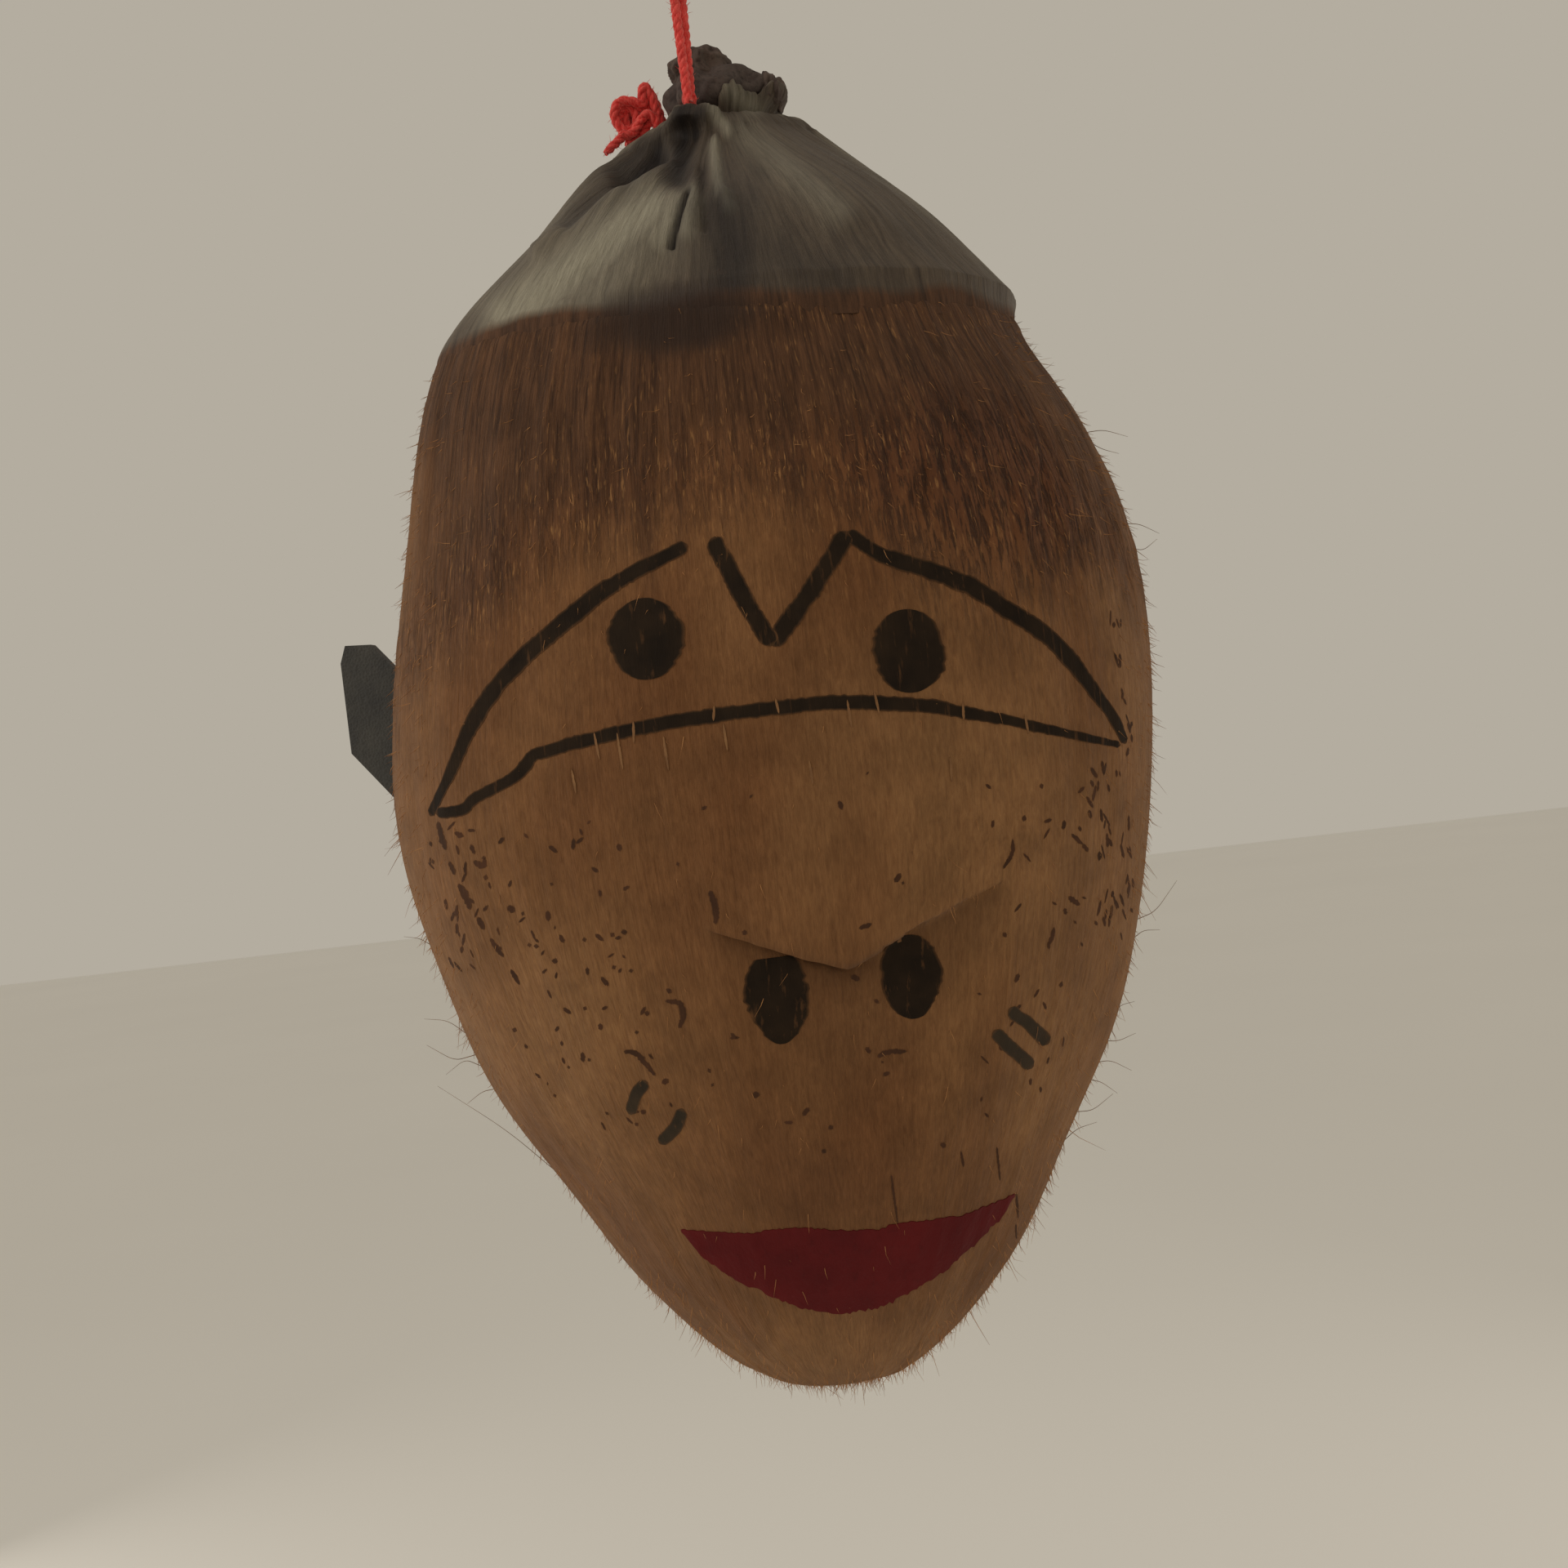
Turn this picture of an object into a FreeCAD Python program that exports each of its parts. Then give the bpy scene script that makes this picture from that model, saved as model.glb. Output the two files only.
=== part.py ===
import FreeCAD, Part  # FreeCAD has to be loaded before Part
import Sketcher
import math
import os

# A monkey head made from a whole coconut in its husk, hung on a doubled yarn.
# Millimetres, +Z up, the face towards -Y. The origin is where the hanging loop bears on a nail.
# "Drop" is the distance below the hole in the stem end where the cord goes in.

V = FreeCAD.Vector
os.makedirs("parts", exist_ok=True)
doc = FreeCAD.newDocument("coconut_monkey")
sheet = doc.addObject("Spreadsheet::Sheet", "sizes")

SIZES = {
    # hanging cord
    "yarn_dia": 1.9,
    "cord_dia": 3.8,
    "cord_hole_depth": 60.0,
    "loop_width": 11.0,
    "loop_height": 15.0,
    "knot_radius": 3.4,
    "joint_gap": 0.3,
    "bore_gap": 0.06,
    # husk
    "head_length": 250.6,
    "cap_drop": 48.0,
    "cap_skin": 1.2,
    "lobe_share": 0.035,
    "nose_cut_depth": 5.0,
    "nose_cut_height": 34.0,
    # nut inside the husk
    "nut_radius": 52.0,
    "nut_half_height": 58.0,
    "nut_drop": 138.0,
    "nut_gap": 0.2,
    "nut_x": -4.0,
    "nut_y": 0.0,
    "nut_wall": 4.0,
    "kernel_wall": 11.0,
    "pore_radius": 4.0,
    # ears
    "ear_thick": 2.4,
    "ear_drop": 119.0,
    "glue_radius": 2.6,
    # paint
    "ink_thick": 0.3,
    "paint_thick": 0.4,
    "stroke_width": 3.1,
    "dash_width": 2.0,
}
for row, (alias, value) in enumerate(SIZES.items(), start=1):
    sheet.set(f"A{row}", alias)
    sheet.set(f"B{row}", str(value))
    sheet.setAlias(f"B{row}", alias)
doc.recompute()
nodes = []


def size(alias):
    return float(sheet.get(alias))


HOLE_Z = -size("cord_hole_depth")


def bind(obj, **expressions):
    """Ties properties of a document object to the sheet, as in Radius='yarn_dia / 2'."""
    for prop, text in expressions.items():
        for alias in sorted(SIZES, key=len, reverse=True):
            text = text.replace(f"[{alias}]", f"sizes.{alias}")
        obj.setExpression(prop, text)
    return obj


def primitive(kind, name, place=None, **expressions):
    obj = doc.addObject(f"Part::{kind}", name)
    obj.Placement = place or FreeCAD.Placement()
    return bind(obj, **expressions)


def boolean(kind, name, base, tool):
    obj = doc.addObject(f"Part::{kind}", name)
    obj.Base, obj.Tool = base, tool
    return obj


def fused(name, shapes):
    obj = doc.addObject("Part::MultiFuse", name)
    obj.Shapes = shapes
    return obj


def own_shape(name, shape, place=None):
    obj = doc.addObject("Part::Feature", name)
    obj.Shape = shape
    if place:
        obj.Placement = place
    return obj


def node(obj, label):
    """Marks an object as a finished sub-part; its label names its file."""
    obj.Label = label
    nodes.append(obj)
    return obj


def at(x, y, drop):
    return V(x, y, HOLE_Z - drop)


# ---------------------------------------------------------------- outer form of the husk
# drop, half width, half depth, centre x, centre y of each cross-section, from the stem end to the chin
SECTIONS = [
    (2.5, 15.8, 11.5, 5.7, 12.3),
    (5.5, 19.5, 13.8, 4.4, 11.5),
    (15, 28.5, 23.0, 3.5, 8.0),
    (25, 36.5, 34.0, 3.8, 4.5),
    (36, 46.0, 43.5, 2.7, 2.0),
    (48, 55.3, 51.5, 2.2, 0.5),
    (66, 61.0, 58.0, 1.9, 0.0),
    (86, 67.0, 63.5, 4.1, 0.0),
    (106, 70.5, 66.5, 3.7, 0.0),
    (126, 71.9, 68.0, 2.4, 0.0),
    (146, 70.1, 67.0, 1.4, 0.0),
    (166, 65.2, 63.3, 1.4, 0.0),
    (186, 58.4, 57.2, 1.4, 0.0),
    (206, 47.3, 48.0, 2.1, 0.0),
    (224, 37.4, 38.0, 2.0, 0.0),
    (238, 26.3, 27.2, 1.8, 0.0),
    (246, 16.9, 17.8, 1.6, 0.0),
    (249.4, 9.0, 9.6, 1.6, 0.0),
]
SECTION_POINTS = 18


def lobes(turn):
    """Swell of the three-sided cross-section: flat to the front, one ridge behind and one at each side."""
    return 1 + size("lobe_share") * math.cos(3 * (turn - math.pi / 2))


def section(row, inset=0.0):
    drop, half_width, half_depth, x, y = row
    points = []
    for k in range(SECTION_POINTS):
        turn = 2 * math.pi * k / SECTION_POINTS
        across = (half_width - inset) * lobes(turn) * math.cos(turn)
        along = (half_depth - inset) * lobes(turn) * math.sin(turn)
        points.append(at(x + across, y + along, drop))
    curve = Part.BSplineCurve()
    curve.interpolate(Points=points, PeriodicFlag=True)
    return Part.Wire(curve.toShape())


def between(drop):
    """The section row at any drop, read between the two rows round it."""
    for low, high in zip(SECTIONS, SECTIONS[1:]):
        if low[0] <= drop <= high[0]:
            share = (drop - low[0]) / (high[0] - low[0])
            return tuple(a + (b - a) * share for a, b in zip(low, high))
    raise ValueError(drop)


def loft(rows, inset=0.0, end=None):
    wires = [section(row, inset) for row in rows]
    if end:
        wires.append(Part.Vertex(end))
    return Part.makeLoft(wires, True, False)


def husk_form():
    """Full-size form: below the cap's edge at full size, above it thinner by the skin."""
    last = SECTIONS[-1]
    chin = at(last[3], last[4], size("head_length"))
    lower = [row for row in SECTIONS if row[0] >= size("cap_drop")]
    upper = [row for row in SECTIONS if row[0] <= size("cap_drop")]
    bottom = loft(lower, end=chin)
    top = loft(upper, inset=size("cap_skin"))
    return bottom.fuse(top)


outer = own_shape("husk_form", husk_form())


# ---------------------------------------------------------------- nut: hard shell and kernel
def nut_place():
    centre = at(size("nut_x"), size("nut_y"), size("nut_drop"))
    return FreeCAD.Placement(centre, FreeCAD.Rotation())


def egg(name, shrink):
    """An upright egg centred in the nut; shrink is what comes off its radius."""
    return primitive(
        "Ellipsoid",
        name,
        nut_place(),
        Radius1=f"[nut_half_height] - ({shrink})",
        Radius2=f"[nut_radius] - ({shrink})",
        Radius3=f"[nut_radius] - ({shrink})",
    )


cavity = egg("nut_cavity", "0")
shell_outside = egg("shell_outside", "[nut_gap]")
shell_inside = egg("shell_inside", "[nut_gap] + [nut_wall]")
kernel_outside = egg("kernel_outside", "2 * [nut_gap] + [nut_wall]")
kernel_inside = egg("kernel_inside", "2 * [nut_gap] + [nut_wall] + [kernel_wall]")
shell_hollow = boolean("Cut", "shell_hollow", shell_outside, shell_inside)


def pores():
    """The three germination pores at the stem end of the hard shell, one of them soft and open."""
    found = []
    for k in range(3):
        turn = FreeCAD.Rotation(V(0, 0, 1), 120 * k)
        lean = FreeCAD.Rotation(V(0, 1, 0), 16)
        place = FreeCAD.Placement(nut_place().Base, turn * lean)
        tool = primitive("Cylinder", f"pore_{k}", place, Radius="[pore_radius]", Height="[nut_half_height] * 1.2")
        found.append(tool)
    return fused("pores", found)


node(boolean("Cut", "shell", shell_hollow, pores()), "coconut_shell")
node(boolean("Cut", "kernel", kernel_outside, kernel_inside), "coconut_kernel")


# ---------------------------------------------------------------- husk with the carved nose
# Corners of the ledge as x, surface y, drop. The ledge is deep at its low corner and dies out at both ends.
LEDGE_LOW = (10.5, -61.0, 165.0)
LEDGE_LEFT = (-13.0, -62.5, 156.0)
LEDGE_RIGHT = (39.5, -56.0, 153.5)
CLEAR_FRONT = -95.0  # y of a plane well in front of the face


def ledge_profile(corner, deep):
    """The wedge's section: a flat undercut at the ledge, running out to the surface below it."""
    x, y, drop = corner
    run = size("nose_cut_height")
    inner = at(x, y + deep, drop)
    outline = [inner, at(x, CLEAR_FRONT, drop + 1), at(x, CLEAR_FRONT, drop + run), at(x, y + deep + 7, drop + run)]
    return Part.makePolygon(outline + [inner])


def nose_wedge(name, far):
    near_profile = ledge_profile(LEDGE_LOW, size("nose_cut_depth"))
    far_profile = ledge_profile(far, 0.0)
    return own_shape(name, Part.makeLoft([near_profile, far_profile], True, True))


nose_cut = fused("nose_cut", [nose_wedge("nose_cut_left", LEDGE_LEFT), nose_wedge("nose_cut_right", LEDGE_RIGHT)])
husk_hollowed = boolean("Cut", "husk_hollowed", outer, cavity)
husk = node(boolean("Cut", "husk_carved", husk_hollowed, nose_cut), "husk")


# ---------------------------------------------------------------- skin cap and stem end
upper_rows = [row for row in SECTIONS if row[0] <= size("cap_drop")]
cap_outside = own_shape("cap_outside", loft(upper_rows))
cap_inside = own_shape("cap_inside", loft(upper_rows, inset=size("cap_skin")))
cap = node(boolean("Cut", "cap", cap_outside, cap_inside), "skin_cap")

# centre x, y, drop and half sizes x, y, z of the woody stub and of the two dry calyx lobes on it
STUB = ((5.0, 12.3, -3.0), (10.8, 9.6, 8.2))
LOBES = {
    "calyx_lobe_left": ((2.4, 11.5, -9.5), (6.6, 6.3, 5.0)),
    "calyx_lobe_right": ((15.0, 12.4, -4.4), (4.6, 6.0, 4.9)),
}
BORE_DIRECTION = V(-0.35, 0.937, 0)  # from the front of the stub to its left side


def lump(name, centre, halves):
    obj = doc.addObject("Part::Ellipsoid", name)
    obj.Radius1, obj.Radius2, obj.Radius3 = halves[2], halves[0], halves[1]
    obj.Placement = FreeCAD.Placement(at(*centre), FreeCAD.Rotation())
    return obj


def along_bore(start):
    turn = FreeCAD.Rotation(V(0, 0, 1), BORE_DIRECTION)
    return FreeCAD.Placement(at(0, 0, 0) + BORE_DIRECTION * start, turn)


def stem_end():
    bore = primitive("Cylinder", "cord_bore", along_bore(0), Radius="[cord_dia] / 2 + [bore_gap]", Height="40")
    stub_lump = lump("stub_lump", *STUB)
    stub_seated = boolean("Cut", "stub_seated", stub_lump, cap_outside)
    node(boolean("Cut", "stub_bored", stub_seated, bore), "stem_stub")
    taken = [stub_lump, cap_outside, bore]
    for label, (centre, halves) in LOBES.items():
        tools = fused(label + "_tools", list(taken))
        lobe = lump(label + "_lump", centre, halves)
        node(boolean("Cut", label + "_cut", lobe, tools), label)
        taken.append(lobe)


stem_end()


# ---------------------------------------------------------------- hanging cord
KNOT_Z = -(size("loop_height") + size("knot_radius") + 0.6)


def cord_parts():
    gap = "[knot_radius] + [joint_gap]"
    length = f"[cord_hole_depth] + ({KNOT_Z}) - ({gap}) - [cord_dia] / 2 - [joint_gap]"
    foot = FreeCAD.Placement(at(0, 0, -size("cord_dia") / 2 - size("joint_gap")), FreeCAD.Rotation())
    node(primitive("Cylinder", "cord_tube", foot, Radius="[cord_dia] / 2", Height=length), "cord")
    hole = FreeCAD.Placement(at(0, 0, 0), FreeCAD.Rotation())
    node(primitive("Sphere", "cord_bend", hole, Radius="[cord_dia] / 2"), "cord_turn")
    run_start = size("cord_dia") / 2 + size("joint_gap")
    run = primitive("Cylinder", "run_tube", along_bore(run_start), Radius="[cord_dia] / 2", Height="14.5")
    node(run, "cord_run")
    top = FreeCAD.Placement(V(0, 0, KNOT_Z), FreeCAD.Rotation())
    node(primitive("Sphere", "top_knot", top, Radius="[knot_radius]"), "loop_knot")


def hanging_loop():
    """A teardrop of single yarn: two straight legs from the knot, tangent to a half-round top."""
    yarn = size("yarn_dia") / 2
    ring = size("loop_width") / 2 - yarn
    centre = V(0, 0, yarn - ring)
    foot = V(1.3, 0, KNOT_Z + size("knot_radius") + size("joint_gap") + 0.3)
    reach = foot - centre
    lean = math.atan2(reach.x, -reach.z)
    open_angle = math.acos(ring / reach.Length)
    turn = lean + open_angle
    touch = centre + V(ring * math.sin(turn), 0, -ring * math.cos(turn))
    top = centre + V(0, 0, ring)
    legs = [Part.LineSegment(V(-foot.x, 0, foot.z), V(-touch.x, 0, touch.z)), Part.LineSegment(touch, foot)]
    arc = Part.Arc(V(-touch.x, 0, touch.z), top, touch)
    path = Part.Wire([legs[0].toShape(), arc.toShape(), legs[1].toShape()])
    start = V(-foot.x, 0, foot.z)
    section_wire = Part.Wire(Part.Circle(start, V(-touch.x, 0, touch.z) - start, yarn).toShape())
    loop = path.makePipeShell([section_wire], True, True)
    print(f"loop radius {ring:.2f}, tube {loop.Volume:.1f}, expected {math.pi * yarn**2 * path.Length:.1f}")
    return own_shape("loop_tube", loop)


# the knot that stops the yarn at the stub's left side, and its short tail: centre and half sizes
STOPPER = ((-12.2, 14.0, -3.7), (4.6, 4.0, 7.0))
TAIL_ENDS = ((-14.6, 12.5, 0.0), (-18.0, 11.0, 3.8))


def stopper_knot():
    tangle = lump("knot_lump", *STOPPER)
    node(tangle, "stopper_knot")
    start, end = (at(*p) for p in TAIL_ENDS)
    place = FreeCAD.Placement(start, FreeCAD.Rotation(V(0, 0, 1), end - start))
    tail = primitive("Cylinder", "tail_tube", place, Radius="[yarn_dia] / 2")
    tail.Height = (end - start).Length
    tail_off_skin = boolean("Cut", "tail_off_skin", tail, cap_outside)
    node(boolean("Cut", "tail_off_knot", tail_off_skin, tangle), "knot_tail")


cord_parts()
node(hanging_loop(), "hanging_loop")
stopper_knot()


# ---------------------------------------------------------------- ears
# corners of the left ear seen flat: distance out from its glued edge, height above the middle of that edge
EAR_FOOT = -size("ear_thick") / 2
EAR_CORNERS = [(EAR_FOOT, 11), (8.2, 22.5), (13.8, 23), (15.2, 19.5), (15.2, 1), (5.2, -11.5), (EAR_FOOT, -11.5)]
# turn round the head from +X in degrees, gap at the foot in mm, lean of the glued edge in degrees
EARS = {"left": (168.5, 1.9, 0.5), "right": (30.0, 1.2, 2.5)}


def surface_point(drop, turn_deg):
    """The point of the husk form at a drop and a turn about the section's centre."""
    _, half_width, half_depth, x, y = between(drop)
    turn = math.radians(turn_deg)
    across = half_width * lobes(turn) * math.cos(turn)
    return at(x + across, y + half_depth * lobes(turn) * math.sin(turn), drop)


def ear_place(side):
    """The hinge line of an ear: just off the husk, half the foam's thickness and a gap away from it."""
    turn_deg, foot_gap, lean_deg = EARS[side]
    outward = V(math.cos(math.radians(turn_deg)), math.sin(math.radians(turn_deg)), 0)
    foot = surface_point(size("ear_drop"), turn_deg) + outward * (size("ear_thick") / 2 + foot_gap)
    turn = FreeCAD.Rotation(V(0, 0, 1), turn_deg)
    lean = FreeCAD.Rotation(V(0, 1, 0), lean_deg)
    return FreeCAD.Placement(foot, turn * lean)


def plane_of(body, role):
    return next(f for f in body.Origin.OriginFeatures if f.Role == role)


def ear(side):
    body = doc.addObject("PartDesign::Body", f"ear_{side}")
    sketch = body.newObject("Sketcher::SketchObject", f"ear_outline_{side}")
    sketch.AttachmentSupport = [(plane_of(body, "XZ_Plane"), "")]
    sketch.MapMode = "FlatFace"
    corners = [V(x, z, 0) for x, z in EAR_CORNERS]
    for start, end in zip(corners, corners[1:] + corners[:1]):
        sketch.addGeometry(Part.LineSegment(start, end), False)
    for k in range(len(corners)):
        sketch.addConstraint(Sketcher.Constraint("Coincident", k, 2, (k + 1) % len(corners), 1))
    pad = body.newObject("PartDesign::Pad", f"ear_pad_{side}")
    pad.Profile = sketch
    pad.Midplane = True
    bind(pad, Length="[ear_thick]")
    doc.recompute()
    foot_edges = []
    for k, edge in enumerate(pad.Shape.Edges, start=1):
        ends = [v.Point for v in edge.Vertexes]
        if all(abs(p.x - EAR_FOOT) < 0.01 for p in ends) and edge.Length > 5:
            foot_edges.append(f"Edge{k}")
    fillet = body.newObject("PartDesign::Fillet", f"ear_foot_{side}")
    fillet.Base = (pad, foot_edges)
    bind(fillet, Radius="[ear_thick] / 2 - 0.02")
    body.Tip = fillet
    body.Placement = ear_place(side)
    hinge = body.Placement
    print(f"{side} ear hinge at {hinge.Base}, along {hinge.Rotation.multVec(V(0, 0, 1))}")
    node(body, f"{side}_ear")


def ear_glue(side):
    """A bead of glue that fills the space between the ear's foot and the husk."""
    place = ear_place(side)
    start = FreeCAD.Placement(place.multVec(V(0, 0, -10)), place.Rotation)
    bead = primitive("Cylinder", f"glue_bead_{side}", start, Radius="[glue_radius]", Height="19")
    room = primitive("Box", f"glue_room_{side}", Length="20", Width="20", Height="40")
    room.Placement = FreeCAD.Placement(place.multVec(V(-0.6, -10, -20)), place.Rotation)
    below = FreeCAD.Placement(place.multVec(V(0, 0, -20)), place.Rotation)
    socket = primitive("Cylinder", f"foot_room_{side}", below, Radius="[ear_thick] / 2 + [joint_gap]", Height="40")
    clear = fused(f"glue_tools_{side}", [room, socket, outer])
    node(boolean("Cut", f"glue_{side}", bead, clear), f"{side}_ear_glue")


for side in EARS:
    ear(side)
    ear_glue(side)


# ---------------------------------------------------------------- marks drawn on the face
# Points are x and drop. Strokes are centre lines of a marker; ovals are centre and half sizes.
STROKES = {
    "brow_line_left": [(-58.5, 132.5), (-49, 119.5), (-39.5, 110), (-22.3, 99.5), (-7.8, 94)],
    "brow_line_right": [(21.5, 98.5), (31.5, 102.8), (49.5, 114.5), (57, 124), (62.8, 133.5)],
    "mask_line": [(-52.5, 131.8), (-40, 127), (-31, 124), (-6, 122), (20.6, 123), (41, 128), (57.5, 132.8)],
}
NOTCH = [(-3.8, 93.3), (3.8, 112), (18, 95)]
DASHES = {
    "cheek_marks_left": [((-25.3, 181.1), (-29.1, 187.0)), ((-19.9, 186.5), (-24.8, 192.7))],
    "cheek_marks_right": [((33.6, 179.7), (40.4, 187.9)), ((36.6, 176.3), (43.7, 184.2))],
}
OVALS = {
    "left_eye": ((-16.4, 108.4), (6.2, 6.6)),
    "right_eye": ((25.7, 115.2), (6.0, 6.7)),
    "left_nostril": ((-1.8, 168.8), (5.2, 7.6)),
    "right_nostril": ((20.5, 169.0), (5.1, 6.2)),
}
MOUTH_TOP = [(-23.7, 209.7), (-3.5, 210.4), (10, 212.4), (26, 212.6), (36, 211.5)]
MOUTH_BOTTOM = [(36, 211.5), (29, 218.5), (15, 226.5), (2.5, 229.3), (-9, 224), (-23.7, 209.7)]


def on_plane(point):
    return at(point[0], CLEAR_FRONT, point[1])


def smooth(points):
    curve = Part.BSplineCurve()
    curve.interpolate([on_plane(p) for p in points])
    return curve


def stroke_face(points, width):
    """The outline of a round-ended marker stroke along a centre line."""
    line = smooth(points)
    steps = 3 * len(points)
    half = width / 2
    sides = {1: [], -1: []}
    for k in range(steps + 1):
        where = line.FirstParameter + (line.LastParameter - line.FirstParameter) * k / steps
        forward = line.tangent(where)[0]
        across = forward.cross(V(0, 1, 0))
        for hand, found in sides.items():
            found.append(line.value(where) + across * half * hand)
    edges = []
    curves = []
    for found in sides.values():
        curve = Part.BSplineCurve()
        curve.interpolate(found)
        curves.append(curve)
    first, last = line.FirstParameter, line.LastParameter
    start_tip = line.value(first) - line.tangent(first)[0] * half
    end_tip = line.value(last) + line.tangent(last)[0] * half
    edges.append(curves[0].toShape())
    edges.append(Part.Arc(sides[1][-1], end_tip, sides[-1][-1]).toShape())
    edges.append(curves[1].toShape())
    edges.append(Part.Arc(sides[-1][0], start_tip, sides[1][0]).toShape())
    return Part.Face(Part.Wire(Part.__sortEdges__(edges)))


def oval_face(centre, halves):
    major, minor = max(halves), min(halves)
    upright = halves[1] >= halves[0]
    middle = on_plane(centre)
    reach = V(0, 0, major) if upright else V(major, 0, 0)
    side = V(minor, 0, 0) if upright else V(0, 0, minor)
    curve = Part.Ellipse(middle + reach, middle + side, middle)
    return Part.Face(Part.Wire(curve.toShape()))


def mouth_face():
    return Part.Face(Part.Wire([smooth(MOUTH_TOP).toShape(), smooth(MOUTH_BOTTOM).toShape()]))


def film(label, faces, thick):
    """A thin film of ink or paint that lies on the husk over the given outlines."""
    prisms = [face.extrude(V(0, -CLEAR_FRONT - 20, 0)) for face in faces]
    solid = prisms[0].multiFuse(prisms[1:]) if len(prisms) > 1 else prisms[0]
    proud = husk.Shape.copy()
    proud.translate(V(0, -thick, 0))
    node(own_shape(label + "_film", solid.common(proud).cut(husk.Shape)), label)


doc.recompute()
ink = size("ink_thick")
for label, points in STROKES.items():
    film(label, [stroke_face(points, size("stroke_width"))], ink)
film("brow_notch", [stroke_face([a, b], size("stroke_width")) for a, b in zip(NOTCH, NOTCH[1:])], ink)
for label, pairs in DASHES.items():
    film(label, [stroke_face(pair, size("dash_width")) for pair in pairs], ink)
for label, (centre, halves) in OVALS.items():
    film(label, [oval_face(centre, halves)], ink)
film("mouth_paint", [mouth_face()], size("paint_thick"))


# ---------------------------------------------------------------- checks and output
doc.recompute()
for obj in doc.Objects:
    if "Invalid" in obj.State or "Error" in obj.State:
        raise RuntimeError(f"{obj.Label} is {obj.State}")
for obj in nodes:
    if obj.Shape.isNull() or not obj.Shape.isValid() or not obj.Shape.Solids:
        raise RuntimeError(f"{obj.Label} has no valid solid")
    obj.Shape.exportStep(f"parts/{obj.Label}.step")
    box = obj.Shape.BoundBox
    print(f"{obj.Label}: {len(obj.Shape.Solids)} solid(s), {obj.Shape.Volume / 1000:.3f} cm3, "
          f"x {box.XMin:.1f}..{box.XMax:.1f} y {box.YMin:.1f}..{box.YMax:.1f} z {box.ZMin:.1f}..{box.ZMax:.1f}")
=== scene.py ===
import bpy
import math
import numpy as np
from mathutils import Matrix, Vector
from mathutils.bvhtree import BVHTree


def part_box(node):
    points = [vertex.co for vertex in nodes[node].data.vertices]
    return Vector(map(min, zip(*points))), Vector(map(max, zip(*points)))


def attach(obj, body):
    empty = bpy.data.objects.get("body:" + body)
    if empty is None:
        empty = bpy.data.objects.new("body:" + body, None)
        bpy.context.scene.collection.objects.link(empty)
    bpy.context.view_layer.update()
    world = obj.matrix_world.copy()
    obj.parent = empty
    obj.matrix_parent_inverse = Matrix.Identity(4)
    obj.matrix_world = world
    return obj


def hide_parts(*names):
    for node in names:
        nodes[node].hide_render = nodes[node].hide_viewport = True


# A monkey head made from a whole coconut in its husk, hung on a doubled yarn.
# Metres, +Z up, the face towards -Y, the origin at the inside top of the hanging loop.
# Places on the head are given as x, y and drop in millimetres; drop is the distance below the cord's hole.

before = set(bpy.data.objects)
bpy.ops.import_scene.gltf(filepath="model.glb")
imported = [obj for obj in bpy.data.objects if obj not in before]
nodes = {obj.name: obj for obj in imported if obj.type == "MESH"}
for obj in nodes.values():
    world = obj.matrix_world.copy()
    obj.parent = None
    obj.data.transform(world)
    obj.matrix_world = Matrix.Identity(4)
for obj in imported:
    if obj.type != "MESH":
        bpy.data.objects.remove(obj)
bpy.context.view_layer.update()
MM = 0.001


def middle(node):
    low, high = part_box(node)
    return (low + high) / 2


HOLE = middle("cord_turn")
CHIN_DROP = (HOLE.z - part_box("husk")[0].z) / MM
CAP_DROP = (HOLE.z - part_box("skin_cap")[0].z) / MM


def at(x, y, drop):
    return Vector((x * MM, y * MM, HOLE.z - drop * MM))


# ---------------------------------------------------------------- camera, light and floor
EYE = at(3.2, -360, 134.3)
CAMERA_ROLL = math.radians(6.5)


def link(obj):
    bpy.context.scene.collection.objects.link(obj)
    return obj


def add_camera():
    data = bpy.data.cameras.new("photo_camera")
    data.sensor_width = 36
    data.lens = 42.2
    camera = link(bpy.data.objects.new("photo_camera", data))
    right = Vector((math.cos(CAMERA_ROLL), 0, -math.sin(CAMERA_ROLL)))
    up = Vector((math.sin(CAMERA_ROLL), 0, math.cos(CAMERA_ROLL)))
    turn = Matrix((right, up, right.cross(up))).transposed().to_4x4()
    camera.matrix_world = Matrix.Translation(EYE) @ turn
    bpy.context.scene.camera = camera


def add_light(name, place, aim, width, power, colour):
    data = bpy.data.lights.new(name, "AREA")
    data.size = width
    data.energy = power
    data.color = colour
    light = link(bpy.data.objects.new(name, data))
    light.location = place
    light.rotation_euler = (Vector(aim) - Vector(place)).to_track_quat("-Z", "Y").to_euler()


def linear(value):
    value /= 255
    return value / 12.92 if value <= 0.04045 else ((value + 0.055) / 1.055) ** 2.4


def rgb(red, green, blue, gain=1.0):
    """Display values from 0 to 255 as a linear colour; gain brightens it."""
    return tuple(linear(v) * gain for v in (red, green, blue)) + (1.0,)


DIM = 2.4  # colours noted in dim light are this much brighter in themselves


def dim(red, green, blue):
    return rgb(red, green, blue, DIM)


def add_world():
    world = bpy.data.worlds.new("pale_room")
    world.use_nodes = True
    world.node_tree.nodes["Background"].inputs["Color"].default_value = rgb(180, 173, 160)
    bpy.context.scene.world = world
    bpy.context.scene.view_settings.view_transform = "Standard"


def add_stage():
    add_camera()
    add_world()
    heart = at(0, 0, 110)
    add_light("window", (-0.75, -0.35, 0.35), heart, 0.5, 2.0, (1.0, 0.97, 0.92))
    add_light("left_bounce", (-0.7, 0.45, -0.25), heart, 0.6, 0.9, (1.0, 0.93, 0.84))
    add_light("right_bounce", (0.75, 0.4, -0.2), heart, 0.6, 0.7, (1.0, 0.93, 0.84))


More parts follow.
